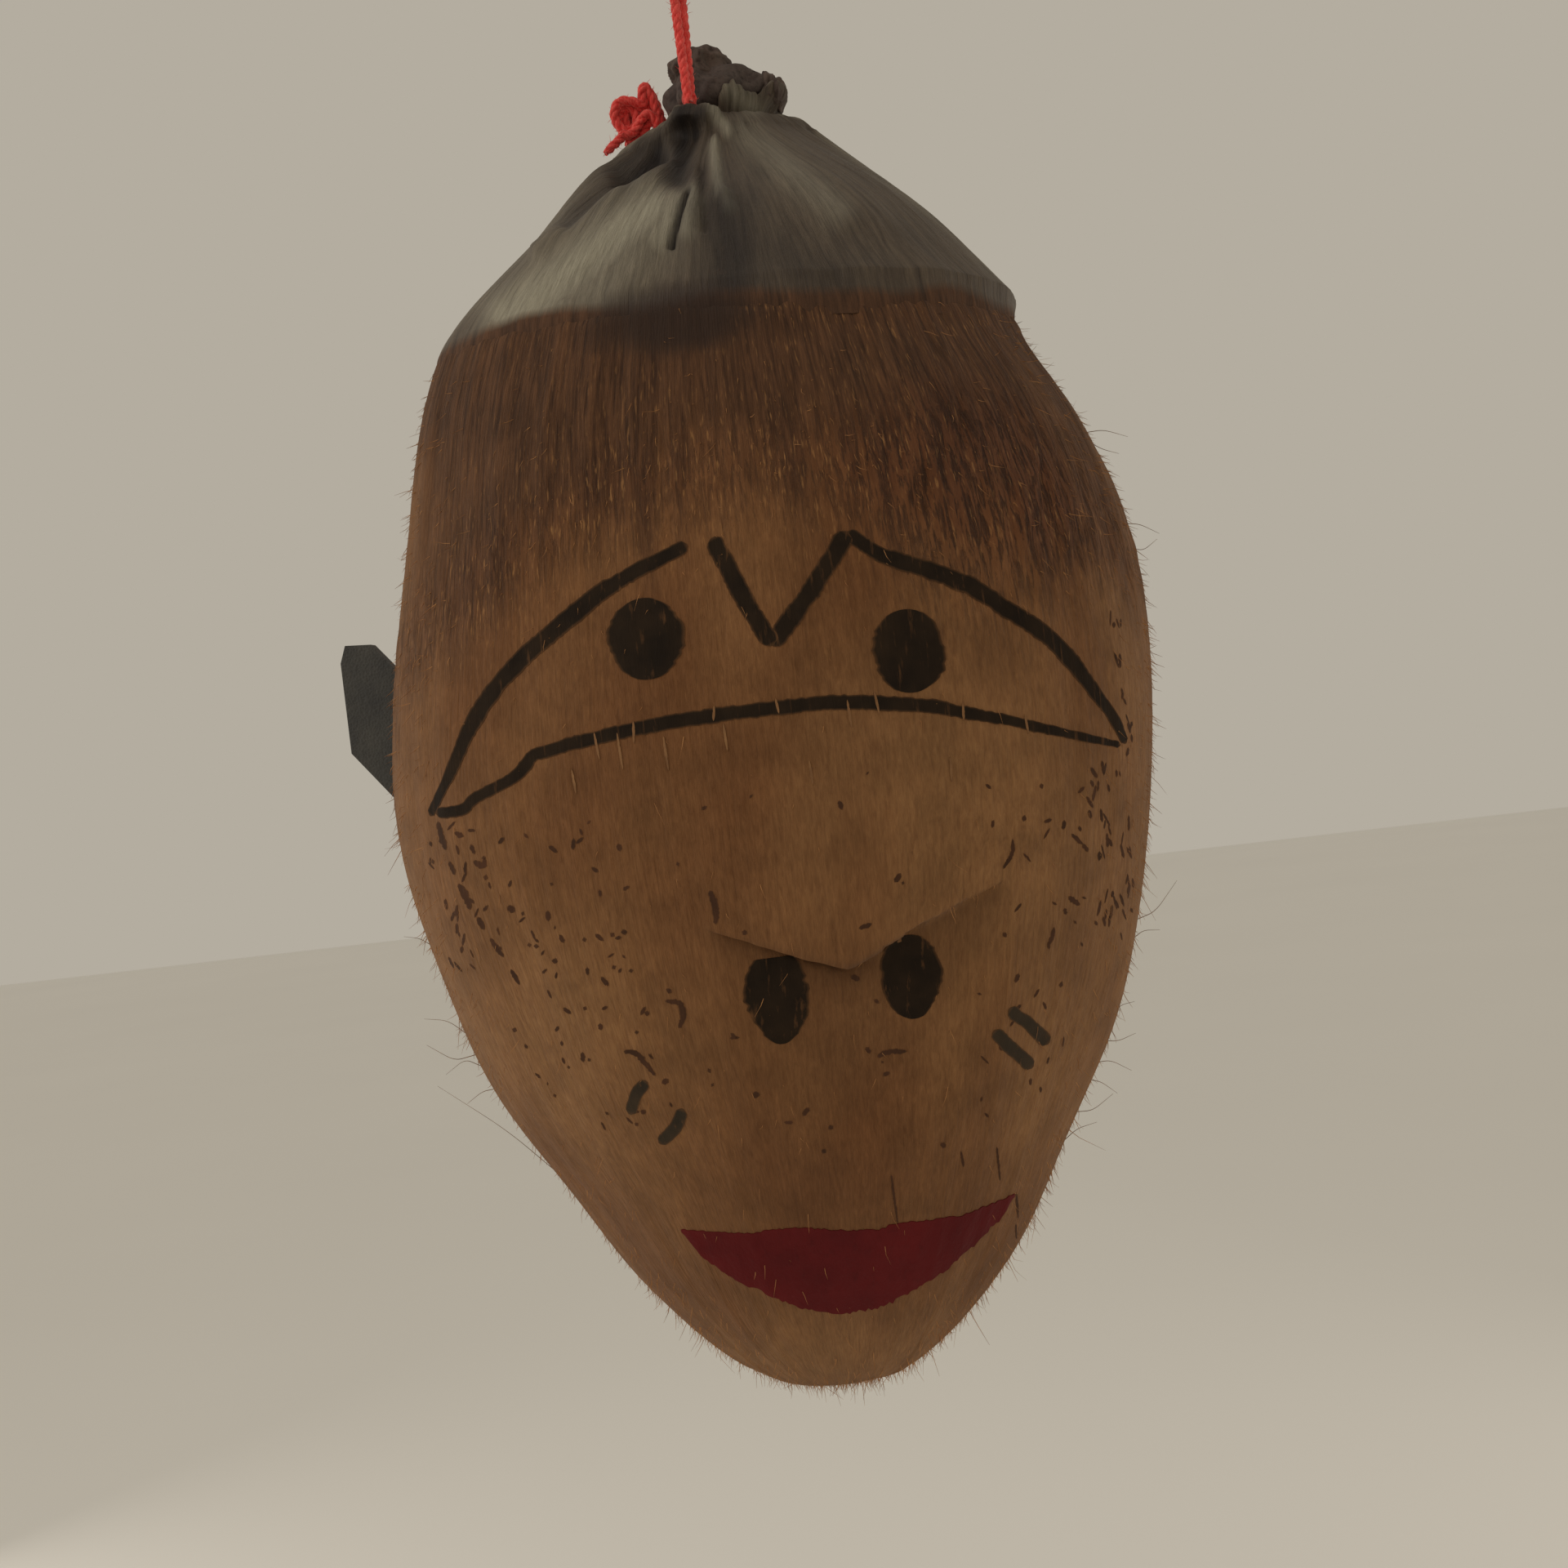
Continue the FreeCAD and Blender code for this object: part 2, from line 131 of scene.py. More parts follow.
# ---------------------------------------------------------------- material graphs
class Graph:
    """A material whose colour and relief come from nodes."""

    def __init__(self, name, roughness, fixed=()):
        self.material = bpy.data.materials.new(name)
        self.material.use_nodes = True
        self.tree = self.material.node_tree
        self.shader = self.tree.nodes["Principled BSDF"]
        for socket, value in [("Roughness", roughness), *fixed]:
            self.shader.inputs[socket].default_value = value

    def put(self, value, socket):
        if isinstance(value, bpy.types.NodeSocket):
            self.tree.links.new(value, socket)
        else:
            socket.default_value = value

    def add(self, kind, inputs, **settings):
        node = self.tree.nodes.new(kind)
        for name, value in settings.items():
            setattr(node, name, value)
        for name, value in inputs.items():
            self.put(value, node.inputs[name])
        return node

    def vector(self, name):
        return self.add("ShaderNodeAttribute", {}, attribute_name=name).outputs["Vector"]

    def value(self, name):
        return self.add("ShaderNodeAttribute", {}, attribute_name=name).outputs["Fac"]

    def position(self):
        return self.add("ShaderNodeTexCoord", {}).outputs["Object"]

    def stretched(self, vector, across, along, shear=0.0):
        inputs = {"Vector": vector, "Scale": (across, across, along), "Rotation": (0.0, shear, 0.0)}
        return self.add("ShaderNodeMapping", inputs).outputs["Vector"]

    def noise(self, vector, scale, detail=4.0, roughness=0.55, distortion=0.0):
        inputs = {"Vector": vector, "Scale": scale, "Detail": detail, "Roughness": roughness}
        inputs["Distortion"] = distortion
        return self.add("ShaderNodeTexNoise", inputs).outputs["Fac"]

    def cells(self, vector, scale):
        inputs = {"Vector": vector, "Scale": scale}
        return self.add("ShaderNodeTexVoronoi", inputs).outputs["Distance"]

    def ranged(self, value, low, high, to_low=0.0, to_high=1.0):
        inputs = {"Value": value, "From Min": low, "From Max": high, "To Min": to_low, "To Max": to_high}
        return self.add("ShaderNodeMapRange", inputs).outputs["Result"]

    def sum(self, operation, a, b):
        node = self.add("ShaderNodeMath", {}, operation=operation)
        self.put(a, node.inputs[0])
        self.put(b, node.inputs[1])
        return node.outputs[0]

    def mix(self, share, a, b, blend="MIX"):
        node = self.add("ShaderNodeMix", {}, data_type="RGBA", blend_type=blend)
        self.put(share, node.inputs[0])
        self.put(a, node.inputs[6])
        self.put(b, node.inputs[7])
        return node.outputs[2]

    def between(self, value, low, high, first, second):
        """The first colour where the value is low, the second where it is high."""
        return self.mix(self.ranged(value, low, high), first, second)

    def shade(self, value, low, high):
        """Grey from low to high for a multiply."""
        return self.mix(value, (low, low, low, 1.0), (high, high, high, 1.0))

    def relief(self, height, depth_mm, below=None):
        node = self.add("ShaderNodeBump", {"Height": height, "Distance": depth_mm * MM, "Strength": 1.0})
        if below:
            self.put(below, node.inputs["Normal"])
        return node.outputs["Normal"]

    def finish(self, colour, normal=None, roughness=None):
        self.put(colour, self.shader.inputs["Base Color"])
        if normal:
            self.put(normal, self.shader.inputs["Normal"])
        if roughness:
            self.put(roughness, self.shader.inputs["Roughness"])
        return self.material


FELT = [("Sheen Weight", 0.06), ("Sheen Roughness", 0.6), ("Specular IOR Level", 0.1)]


def coir_husk():
    """Husk fibres: dark and rough over the forehead, rasped to a pale tan over the face."""
    g = Graph("coir_husk", 0.85, FELT)
    grain, tone, rough = g.vector("grain"), g.value("tone"), g.value("rough")
    streaks = g.noise(g.stretched(grain, 14, 0.9), 1.0, 6.0, 0.65, 0.3)
    threads = g.noise(g.stretched(grain, 45, 2.6), 1.0, 4.0, 0.6)
    slanted = g.noise(g.stretched(grain, 12, 1.6, 0.35), 1.0, 5.0, 0.7, 0.6)
    blotches = g.noise(grain, 1.1, 3.0)
    short = g.noise(g.stretched(grain, 15, 3.6), 1.0, 6.0, 0.7, 0.5)
    dark = g.between(streaks, 0.35, 0.68, dim(42, 26, 16), dim(75, 50, 32))
    warm = g.between(short, 0.3, 0.7, dim(70, 44, 24), dim(86, 57, 34))
    light = g.between(short, 0.3, 0.7, dim(85, 58, 35), dim(105, 76, 48))
    pale = g.mix(g.value("sunlit"), warm, light)
    pale = g.mix(1.0, pale, g.shade(g.ranged(streaks, 0.3, 0.7), 0.9, 1.08), "MULTIPLY")
    colour = g.mix(tone, dark, pale)
    colour = g.mix(g.ranged(rough, 0.2, 1.0, 0.0, 0.5), colour, dim(74, 42, 25))
    colour = g.mix(1.0, colour, g.shade(g.ranged(blotches, 0.3, 0.7), 0.84, 1.12), "MULTIPLY")
    grooves = g.sum("MULTIPLY", g.ranged(slanted, 0.5, 0.36), rough)
    # painted shade in the torn grooves
    colour = g.mix(g.sum("MULTIPLY", grooves, 0.75), colour, dim(33, 20, 14))
    flecks = g.noise(g.stretched(grain, 26, 3.4), 1.0, 2.0, 0.5)
    flecks = g.sum("MULTIPLY", g.ranged(flecks, 0.6, 0.72), g.value("fleck"))
    colour = g.mix(flecks, colour, dim(106, 75, 45))
    pits = g.noise(g.stretched(grain, 16, 7), 1.0, 3.0, 0.6)
    colour = g.mix(g.ranged(pits, 0.3, 0.2, 0.0, 0.55), colour, dim(52, 30, 18))
    colour = g.mix(g.ranged(threads, 0.45, 0.25, 0.0, 0.28), colour, dim(58, 36, 22))
    colour = g.mix(g.value("stain"), colour, dim(34, 24, 19))
    # painted shade under the carved ledge over the nostrils
    colour = g.mix(g.sum("MULTIPLY", g.value("ledge_shade"), 0.5), colour, dim(46, 30, 19))
    thread_height = g.sum("MULTIPLY", threads, g.ranged(tone, 0.0, 1.0, 0.8, 0.3))
    height = g.sum("ADD", thread_height, g.sum("MULTIPLY", streaks, 0.8))
    height = g.sum("SUBTRACT", height, g.sum("MULTIPLY", grooves, 1.2))
    return g.finish(colour, g.relief(height, 0.45))


def husk_skin():
    """Weathered outer skin: silvery grey-beige where it was rubbed, with painted sheen and highlights; brown,
    and darkened by painted shade, in the folds.
    """
    g = Graph("husk_skin", 0.62, [("Specular IOR Level", 0.35)])
    grain = g.vector("grain")
    streaks = g.noise(g.stretched(grain, 7, 0.8), 1.0, 6.0, 0.62, 0.4)
    fine = g.noise(g.stretched(grain, 34, 3.5), 1.0, 4.0, 0.6)
    mottle = g.noise(grain, 3.2, 5.0, 0.62)
    colour = g.between(streaks, 0.3, 0.7, dim(42, 34, 27), dim(68, 58, 47))
    silver_and_highlight = g.between(streaks, 0.25, 0.75, dim(88, 83, 71), dim(118, 113, 99))
    # silvery where the skin was rubbed, with painted sheen and painted highlights on the ridges
    colour = g.mix(g.value("silver_and_highlight"), colour, silver_and_highlight)
    # painted shade in the folds and pleats, and darker patches
    colour = g.mix(g.value("dark"), colour, dim(20, 14, 12))
    colour = g.mix(g.ranged(mottle, 0.62, 0.8, 0.0, 0.45), colour, dim(50, 36, 27))
    colour = g.mix(1.0, colour, g.shade(g.ranged(fine, 0.3, 0.7), 0.85, 1.12), "MULTIPLY")
    frayed = g.ranged(g.sum("ADD", g.value("edge"), g.ranged(streaks, 0.2, 0.8, -0.12, 0.12)), 0.2, 0.8)
    brown = g.between(streaks, 0.35, 0.65, dim(40, 26, 17), dim(66, 44, 29))
    colour = g.mix(frayed, colour, brown)
    colour = g.mix(g.value("stain"), colour, dim(34, 24, 19))
    height = g.sum("ADD", g.sum("MULTIPLY", fine, 0.5), g.sum("ADD", streaks, g.sum("MULTIPLY", mottle, 0.7)))
    return g.finish(colour, g.relief(height, 0.5), g.ranged(frayed, 0.0, 1.0, 0.6, 0.88))


def woody(name, light, deep):
    g = Graph(name, 0.8, [("Specular IOR Level", 0.2)])
    where = g.position()
    lumps = g.noise(where, 260.0, 6.0, 0.65)
    pits = g.noise(where, 900.0, 4.0, 0.6)
    colour = g.between(lumps, 0.3, 0.7, deep, light)
    colour = g.mix(g.ranged(pits, 0.45, 0.3, 0.0, 0.6), colour, dim(20, 16, 14))
    return g.finish(colour, g.relief(g.sum("ADD", lumps, g.sum("MULTIPLY", pits, 0.4)), 0.7))


def yarn_red():
    """Pinkish red acrylic yarn, paler where its fibres catch the light."""
    woolly = [("Sheen Weight", 0.6), ("Sheen Roughness", 0.45), ("Specular IOR Level", 0.15)]
    g = Graph("yarn_red", 0.8, woolly)
    g.shader.inputs["Sheen Tint"].default_value = (1.0, 0.55, 0.5, 1.0)
    where = g.position()
    fibres = g.noise(g.stretched(where, 2600, 900), 1.0, 3.0, 0.6)
    patches = g.noise(where, 300.0, 2.0)
    colour = g.between(fibres, 0.3, 0.7, rgb(216, 44, 44), rgb(246, 104, 96))
    colour = g.mix(1.0, colour, g.shade(g.ranged(patches, 0.3, 0.7), 0.85, 1.1), "MULTIPLY")
    return g.finish(colour, g.relief(fibres, 0.12))


def ink(name, core, worn, wear):
    """Felt marker soaked into the fibres: near black, browner where fibres stand out of it."""
    g = Graph(name, 0.85, [("Specular IOR Level", 0.1)])
    grain = g.position()
    threads = g.noise(g.stretched(grain, 900, 110), 1.0, 5.0, 0.65)
    cloud = g.noise(grain, 170.0, 3.0)
    colour = g.between(cloud, 0.3, 0.7, core, worn)
    worn_off = g.sum("ADD", g.ranged(threads, 0.58, 0.76, 0.0, wear), g.sum("MULTIPLY", g.value("rim"), 0.45))
    colour = g.mix(worn_off, colour, dim(78, 53, 33))
    return g.finish(colour, g.relief(threads, 0.25))


def red_paint():
    g = Graph("red_paint", 0.7, [("Specular IOR Level", 0.15)])
    where = g.position()
    threads = g.noise(g.stretched(where, 700, 80), 1.0, 5.0, 0.6)
    cloud = g.noise(where, 90.0, 3.0)
    colour = g.between(cloud, 0.3, 0.7, rgb(86, 15, 18), rgb(102, 21, 23))
    colour = g.mix(g.ranged(threads, 0.55, 0.78, 0.0, 0.45), colour, rgb(70, 11, 13))
    return g.finish(colour, g.relief(threads, 0.3))


def craft_foam():
    """Dark grey craft foam: fine closed cells and a faint sheen."""
    g = Graph("craft_foam", 0.75, [("Specular IOR Level", 0.3), ("Sheen Weight", 0.15)])
    where = g.position()
    cells = g.cells(where, 1900.0)
    scuffs = g.noise(where, 120.0, 5.0, 0.65)
    colour = g.between(scuffs, 0.3, 0.7, dim(36, 36, 36), dim(50, 49, 46))
    colour = g.mix(g.ranged(cells, 0.0, 0.5, 0.25, 0.0), colour, dim(24, 24, 25))
    return g.finish(colour, g.relief(cells, 0.12))


def dried_glue():
    g = Graph("dried_glue", 0.35, [("Coat Weight", 0.2)])
    where = g.position()
    cloud = g.noise(where, 260.0, 4.0)
    colour = g.between(cloud, 0.3, 0.7, dim(112, 103, 86), dim(142, 136, 120))
    return g.finish(colour, g.relief(cloud, 0.4))


def hair(name, root, tip):
    g = Graph(name, 0.7, [("Specular IOR Level", 0.3)])
    share = g.noise(g.position(), 420.0, 2.0)
    return g.finish(g.between(share, 0.3, 0.7, root, tip))


def nut_layer(name, light, deep, depth_mm):
    g = Graph(name, 0.6)
    where = g.position()
    strands = g.noise(g.stretched(where, 240, 60), 1.0, 6.0, 0.6)
    return g.finish(g.between(strands, 0.3, 0.7, deep, light), g.relief(strands, depth_mm))


# ---------------------------------------------------------------- mesh helpers
def mesh_object(name, points, faces, material, attributes=()):
    mesh = bpy.data.meshes.new(name)
    mesh.from_pydata(np.asarray(points, float).tolist(), [], faces)
    mesh.polygons.foreach_set("use_smooth", [True] * len(mesh.polygons))
    for label, values in dict(attributes).items():
        values = np.asarray(values, np.float32)
        kind, field = ("FLOAT_VECTOR", "vector") if values.ndim == 2 else ("FLOAT", "value")
        mesh.attributes.new(label, kind, "POINT").data.foreach_set(field, values.ravel())
    mesh.materials.append(material)
    return link(bpy.data.objects.new(name, mesh))


def declare(piece, body, slot, *replaced):
    """Says which body a piece moves with and the CAD nodes it stands in for; the slot is not used."""
    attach(piece, body)
    if replaced:
        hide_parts(*replaced)


def grid_faces(rows, columns, wrap=True, start=0):
    """Quads of a grid that face outwards when rows go down and columns go round anticlockwise."""
    faces = []
    for i in range(rows - 1):
        for j in range(columns if wrap else columns - 1):
            a, b = start + i * columns + j, start + i * columns + (j + 1) % columns
            faces.append((a, a + columns, b + columns, b))
    return faces


def waves(points, lengths, seed, count=28):
    """Smooth seeded noise, about -1 to 1, from waves whose lengths are given for x, y and z."""
    draw = np.random.default_rng(seed)
    ways = draw.normal(size=(count, 3))
    ways /= np.linalg.norm(ways, axis=1, keepdims=True)
    ways *= draw.uniform(0.6, 1.5, (count, 1)) * 2 * math.pi / np.asarray(lengths, float)
    phases = draw.uniform(0, 2 * math.pi, count)
    return np.sin(points @ ways.T + phases).sum(1) / math.sqrt(count)


def step(values, low, high):
    share = np.clip((values - low) / (high - low), 0, 1)
    return share * share * (3 - 2 * share)


def near_line(x, drop, line, width):
    """1 on the line through the given points, falling away over the width."""
    best = np.full(len(x), 1e9)
    for (x0, d0), (x1, d1) in zip(line, line[1:]):
        run = (x1 - x0) ** 2 + (d1 - d0) ** 2
        share = np.clip(((x - x0) * (x1 - x0) + (drop - d0) * (d1 - d0)) / run, 0, 1)
        best = np.minimum(best, np.hypot(x - x0 - share * (x1 - x0), drop - d0 - share * (d1 - d0)))
    return np.exp(-((best / width) ** 2))


def tree_of(*names):
    points, faces = [], []
    for name in names:
        mesh = nodes[name].data
        start = len(points)
        points += [v.co.copy() for v in mesh.vertices]
        faces += [[i + start for i in p.vertices] for p in mesh.polygons]
    return BVHTree.FromPolygons(points, faces)


def seen(points):
    """x and drop in millimetres where the eye sees each point against the plane y = 0."""
    away = points - np.array(EYE)
    reach = -EYE.y / away[:, 1]
    return (EYE.x + away[:, 0] * reach) / MM, (HOLE.z - EYE.z - away[:, 2] * reach) / MM


def normals_of(points, rows, columns):
    """Outward normals of a grid that goes round."""
    grid = points.reshape(rows, columns, 3)
    round_it = np.roll(grid, -1, 1) - np.roll(grid, 1, 1)
    down = np.gradient(grid, axis=0)
    normal = np.cross(down, round_it)
    return (normal / np.maximum(np.linalg.norm(normal, axis=2, keepdims=True), 1e-12)).reshape(-1, 3)


# ---------------------------------------------------------------- husk
FORM = tree_of("husk", "skin_cap")
STEM_FORM = tree_of("husk", "skin_cap", "stem_stub", "calyx_lobe_left", "calyx_lobe_right")
COLUMNS = 400
TURNS = np.arange(COLUMNS) * 2 * math.pi / COLUMNS
# centimetres: the fibres are counted round a circle of this size, so they run together at the ends
GRAIN_RADIUS = 6.0


def axis(drop):
    """x and y, in metres, of a line up the middle of the head."""
    return 0.0025 + 0.003 * math.exp(-drop / 20), 0.0125 * math.exp(-drop / 18)


def form_point(turn, drop):
    x, y = axis(drop)
    out = Vector((math.cos(turn), math.sin(turn), 0))
    start = Vector((x, y, HOLE.z - drop * MM)) + out * 0.15
    return FORM.ray_cast(start, -out, 0.15)[0]


def even_drops(first, last, spacing):
    """Drops whose rows lie evenly spaced along the head's left side."""
    fine = np.linspace(first, last, 600)
    side = np.array([form_point(math.pi, d) for d in fine])
    run = np.concatenate([[0], np.cumsum(np.linalg.norm(np.diff(side, axis=0), axis=1))])
    count = int(run[-1] / (spacing * MM)) + 1
    return np.interp(np.linspace(0, run[-1], count), run, fine)


# the carved ledge over the nostrils: x and drop of its left end, low corner and right end
LEDGE = [(-13.0, 156.0), (10.5, 165.0), (39.5, 153.5)]
LEDGE_ROW = 160.0


def ledge_shift(turn):
    """How far the rows by the ledge move down or up at a turn so that one row follows its edge."""
    if math.sin(turn) >= 0:
        return 0.0
    x = form_point(turn, LEDGE_ROW).x / MM
    if LEDGE[0][0] + 1 < x < LEDGE[-1][0] - 1:
        guess = np.interp(x, [p[0] for p in LEDGE], [p[1] for p in LEDGE])
        drops = np.arange(guess - 3, guess + 3, 0.12)
        depth = np.array([form_point(turn, d).y for d in drops])
        return float(drops[np.argmax(np.diff(depth))] + 0.06 - LEDGE_ROW)
    line_x = [LEDGE[0][0] - 14, LEDGE[0][0], LEDGE[-1][0], LEDGE[-1][0] + 14]
    return float(np.interp(x, line_x, [0.0, LEDGE[0][1] - LEDGE_ROW, LEDGE[-1][1] - LEDGE_ROW, 0.0]))


def softened(points, rows, columns, share, rounds):
    """Points eased towards the mean of their four neighbours by share, one value for each point."""
    for _ in range(rounds):
        grid = points.reshape(rows, columns, 3)
        up = np.concatenate([grid[:1], grid[:-1]])
        down = np.concatenate([grid[1:], grid[-1:]])
        mean = (up + down + np.roll(grid, 1, 1) + np.roll(grid, -1, 1)) / 4
        points = points + (mean.reshape(-1, 3) - points) * share[:, None]
    return points


def forehead_line(x):
    """Drop at which the dark rough forehead gives way to the rasped face."""
    return 90 + np.where(x < 0, 0.0058, 0.0036) * x * x


def past_edge(drop, turns, grain):
    """Millimetres below the uneven lower edge of the skin cap."""
    lower = CAP_DROP + 1.4 - 2.6 * np.sin(turns)
    lower += 1.6 * np.clip(np.cos(turns), 0, 1) - 2.5 * np.clip(-np.cos(turns), 0, 1)
    return drop - lower + 0.7 * waves(grain, (2.5, 2.5, 4), 23)


def patch(x, drop, centre, halves):
    """1 in the middle of an oval patch, fading outwards."""
    return np.exp(-(((x - centre[0]) / halves[0]) ** 2) - ((drop - centre[1]) / halves[1]) ** 2)


def husk_fields(points, grain, front):
    """Where the husk is rasped pale, rough, flecked and stained, where painted light brightens it, and where
    painted shade darkens it under the carved ledge.
    """
    x = points[:, 0] / MM
    drop = (HOLE.z - points[:, 2]) / MM
    ragged = 5 * waves(grain, (0.5, 0.5, 6), 3) + 4 * waves(grain, (3, 3, 9), 4)
    tone = step(drop + ragged - forehead_line(x), -17, 11)
    # the sides, and the left side most, are given the pale colour as well
    sides = step(np.abs(x - 2) + 3 * waves(grain, (2, 2, 6), 5), 50, 68)
    left = step(-x + 3 * waves(grain, (2, 2, 6), 9), 40, 60) * step(drop, 58, 75)
    tone = np.maximum(tone, np.maximum(0.6 * sides, 0.7 * left))
    tone = np.where(front > 0, tone, 0.55 + 0.25 * waves(grain, (4, 4, 12), 6))
    brow = np.exp(-(((drop - forehead_line(x) + 8) / 11) ** 2))
    scar = np.exp(-(((x - 42) / 18) ** 2) - ((drop - 88) / 20) ** 2)
    rough = np.clip(0.4 * brow + 1.0 * scar, 0, 1) * front
    rough = np.maximum(rough, (1 - front) * 0.5)
    band = np.exp(-(((drop - 55) / 9) ** 2)) * step(x, -5, 10)
    fleck = np.clip(0.28 + 0.75 * brow + 0.6 * band - 0.15 * step(drop, 100, 130), 0, 1)
    sx, sdrop = seen(points)
    spot = ((sx + 8.5) / 15) ** 2 + ((sdrop - 41.5) / 6.5) ** 2 + 0.2 * waves(grain, (1.5, 1.5, 2), 7)
    stain = step(-spot, -1.9, -0.3) * front * 0.9
    sunlit = patch(x, drop, (34, 140), (24, 30)) + patch(x, drop, (-38, 172), (20, 30))
    sunlit += patch(x, drop, (0, 244), (40, 14)) + 0.8 * patch(x, drop, (45, 190), (16, 26)) + 0.5 * sides
    sunlit = np.clip(0.15 + sunlit + 0.18 * waves(grain, (2, 2, 4), 8), 0, 1)
    # painted shade under the carved ledge: darkest at its edge, fading downwards
    edge = np.interp(x, [p[0] for p in LEDGE], [p[1] for p in LEDGE])
    under = np.exp(-np.clip(drop - edge, 0, None) / np.interp(x, [-13, 12, 28, 39], [3, 5, 9, 6]))
    ledge_shade = under * step(drop - edge, -0.3, 0.3) * step(x, -16, -8) * step(-x, -41, -34) * front
    fields = {"tone": np.clip(tone, 0, 1), "rough": rough, "fleck": fleck, "stain": stain}
    return fields | {"sunlit": sunlit, "ledge_shade": ledge_shade}


def husk_relief(grain, fields):
    """Height in millimetres: soft lumps, long grooves between bundles of fibre, and the torn forehead."""
    lumps = 0.35 * waves(grain, (3.5, 3.5, 5), 11)
    bundles = waves(grain, (0.42, 0.42, 7), 12)
    torn = waves(grain @ np.array([[1, 0, 0], [0, 1, 0], [0.25, 0.25, 1]]), (0.36, 0.36, 2.2), 13)
    smooth_face = 0.10 + 0.12 * (1 - fields["tone"])
    return lumps + bundles * smooth_face + 0.32 * torn * fields["rough"]


def build_husk(material):
    spacing = 1.12
    drops = even_drops(CAP_DROP - 8, CHIN_DROP - 0.25, spacing)
    above = drops[drops < LEDGE_ROW - 0.4]
    below = drops[drops > LEDGE_ROW + 0.4]
    drops = np.concatenate([above, [LEDGE_ROW - 0.1, LEDGE_ROW + 0.1], below])
    shifts = [ledge_shift(turn) for turn in TURNS]
    points = []
    for drop in drops:
        bend = math.exp(-(((drop - LEDGE_ROW) / 15) ** 2))
        points += [form_point(turn, drop + shift * bend) for turn, shift in zip(TURNS, shifts)]
    points = np.array(points)
    rows = len(drops)
    drop_of = np.repeat(drops, COLUMNS)
    scooped = (drop_of > LEDGE_ROW + 3) & (drop_of < 208) & (points[:, 1] < -0.02)
    points = softened(points, rows, COLUMNS, 0.8 * scooped, 12)
    side = points.reshape(rows, COLUMNS, 3)[:, COLUMNS // 2]
    run = np.concatenate([[0], np.cumsum(np.linalg.norm(np.diff(side, axis=0), axis=1))]) * 100
    round_it = np.stack([np.cos(TURNS), np.sin(TURNS)], 1) * GRAIN_RADIUS
    grain = np.concatenate([np.tile(round_it, (rows, 1)), np.repeat(run, COLUMNS)[:, None]], 1)
    normal = normals_of(points, rows, COLUMNS)
    front = step(-normal[:, 1], -0.1, 0.15)
    fields = husk_fields(points, grain, front)
    height = husk_relief(grain, fields)
    height *= step(CHIN_DROP - drop_of, 0, 6)
    height -= 1.0 * step(-past_edge(drop_of, np.tile(TURNS, rows), grain), -2.4, 1.0)
    points = points + normal * height[:, None] * MM
    chin = np.array(at(1.6, 0, CHIN_DROP))
    points = np.concatenate([points, chin[None]])
    fields = {k: np.append(v, v[-1]) for k, v in fields.items()}
    fields["grain"] = np.concatenate([grain, [[0, 0, run[-1]]]])
    faces = grid_faces(rows, COLUMNS)
    last = (rows - 1) * COLUMNS
    faces += [(last + j, rows * COLUMNS, last + (j + 1) % COLUMNS) for j in range(COLUMNS)]
    husk = mesh_object("husk_fibres", points, faces, material, fields)
    husk.data.set_sharp_from_angle(angle=math.radians(50))
    declare(husk, "head", "coir_husk", "husk")
    return husk


# ---------------------------------------------------------------- skin cap
# folds and hollows near the stem as seen from the front: points, width, height in millimetres
FOLDS = [
    ([(2.6, -1.5), (4.5, 2.5), (6.8, 6.9)], 1.2, 1.0),
    ([(8.0, 5.0), (10.4, 8.2), (15.6, 14.2), (28, 26.5)], 2.2, 0.8),
    ([(3.9, 8.0), (3.6, 12), (3.7, 15.8), (4.6, 18.5)], 1.1, 1.4),
    ([(4.9, 19.5), (5.3, 21.5)], 1.1, 0.9),
    ([(-0.6, 15.5), (-1.2, 19), (-3.3, 24.9)], 1.8, 1.0),
    ([(1.0, 12), (0.7, 16), (-0.3, 24.3)], 1.1, -1.1),
    ([(-2.0, 5), (-2.6, 8), (-3.9, 12.9)], 3.2, -1.7),
    ([(-2.4, 17.1), (-4.5, 21.5), (-6.8, 26.9)], 0.5, -1.6),
    ([(-8, 8), (-12, 10), (-14.7, 11.7)], 2.3, -4.6),
    ([(-14.7, 11.7), (-21, 16), (-26.5, 20.3)], 1.6, -1.9),
    ([(-5, 10.5), (-8.5, 13), (-17.4, 16.2), (-25.4, 21), (-32.8, 25.4)], 1.5, 1.4),
    ([(-17, 8), (-22, 12.5), (-27, 17)], 1.8, 0.9),
    ([(12, 4), (20, 12), (34, 28)], 2.6, 0.5),
    ([(9, 9), (16, 22), (24, 36)], 2.6, -0.5),
    ([(-12, 20), (-24, 30), (-34, 36)], 2.4, -0.35),
    ([(-7, 27), (-12, 34), (-18, 40)], 2.0, -0.3),
]
# silvery rubbed skin, with painted sheen on the upper left and painted highlights along the fold ridges:
# points, width, share
SILVER_AND_HIGHLIGHTS = [
    ([(-10, 19), (-18, 24), (-30, 31), (-40, 37)], 5.0, 1.0),
    ([(-12, 24), (-24, 33)], 8.0, 0.45),
    ([(-5, 19), (-9, 25)], 3.5, 0.8),
    ([(-1.4, 18), (-3.4, 25)], 2.0, 0.75),
    ([(3.4, -3.6), (8, -2.4), (12, 2)], 2.2, 0.75),
    ([(3, 0), (6.8, 6.9)], 1.1, 0.75),
    ([(3.7, 9), (3.7, 18)], 1.1, 0.8),
    ([(4.9, 19.5), (5.3, 21.5)], 1.2, 0.8),
    ([(10, 7), (26, 24)], 3.0, 0.4),
]
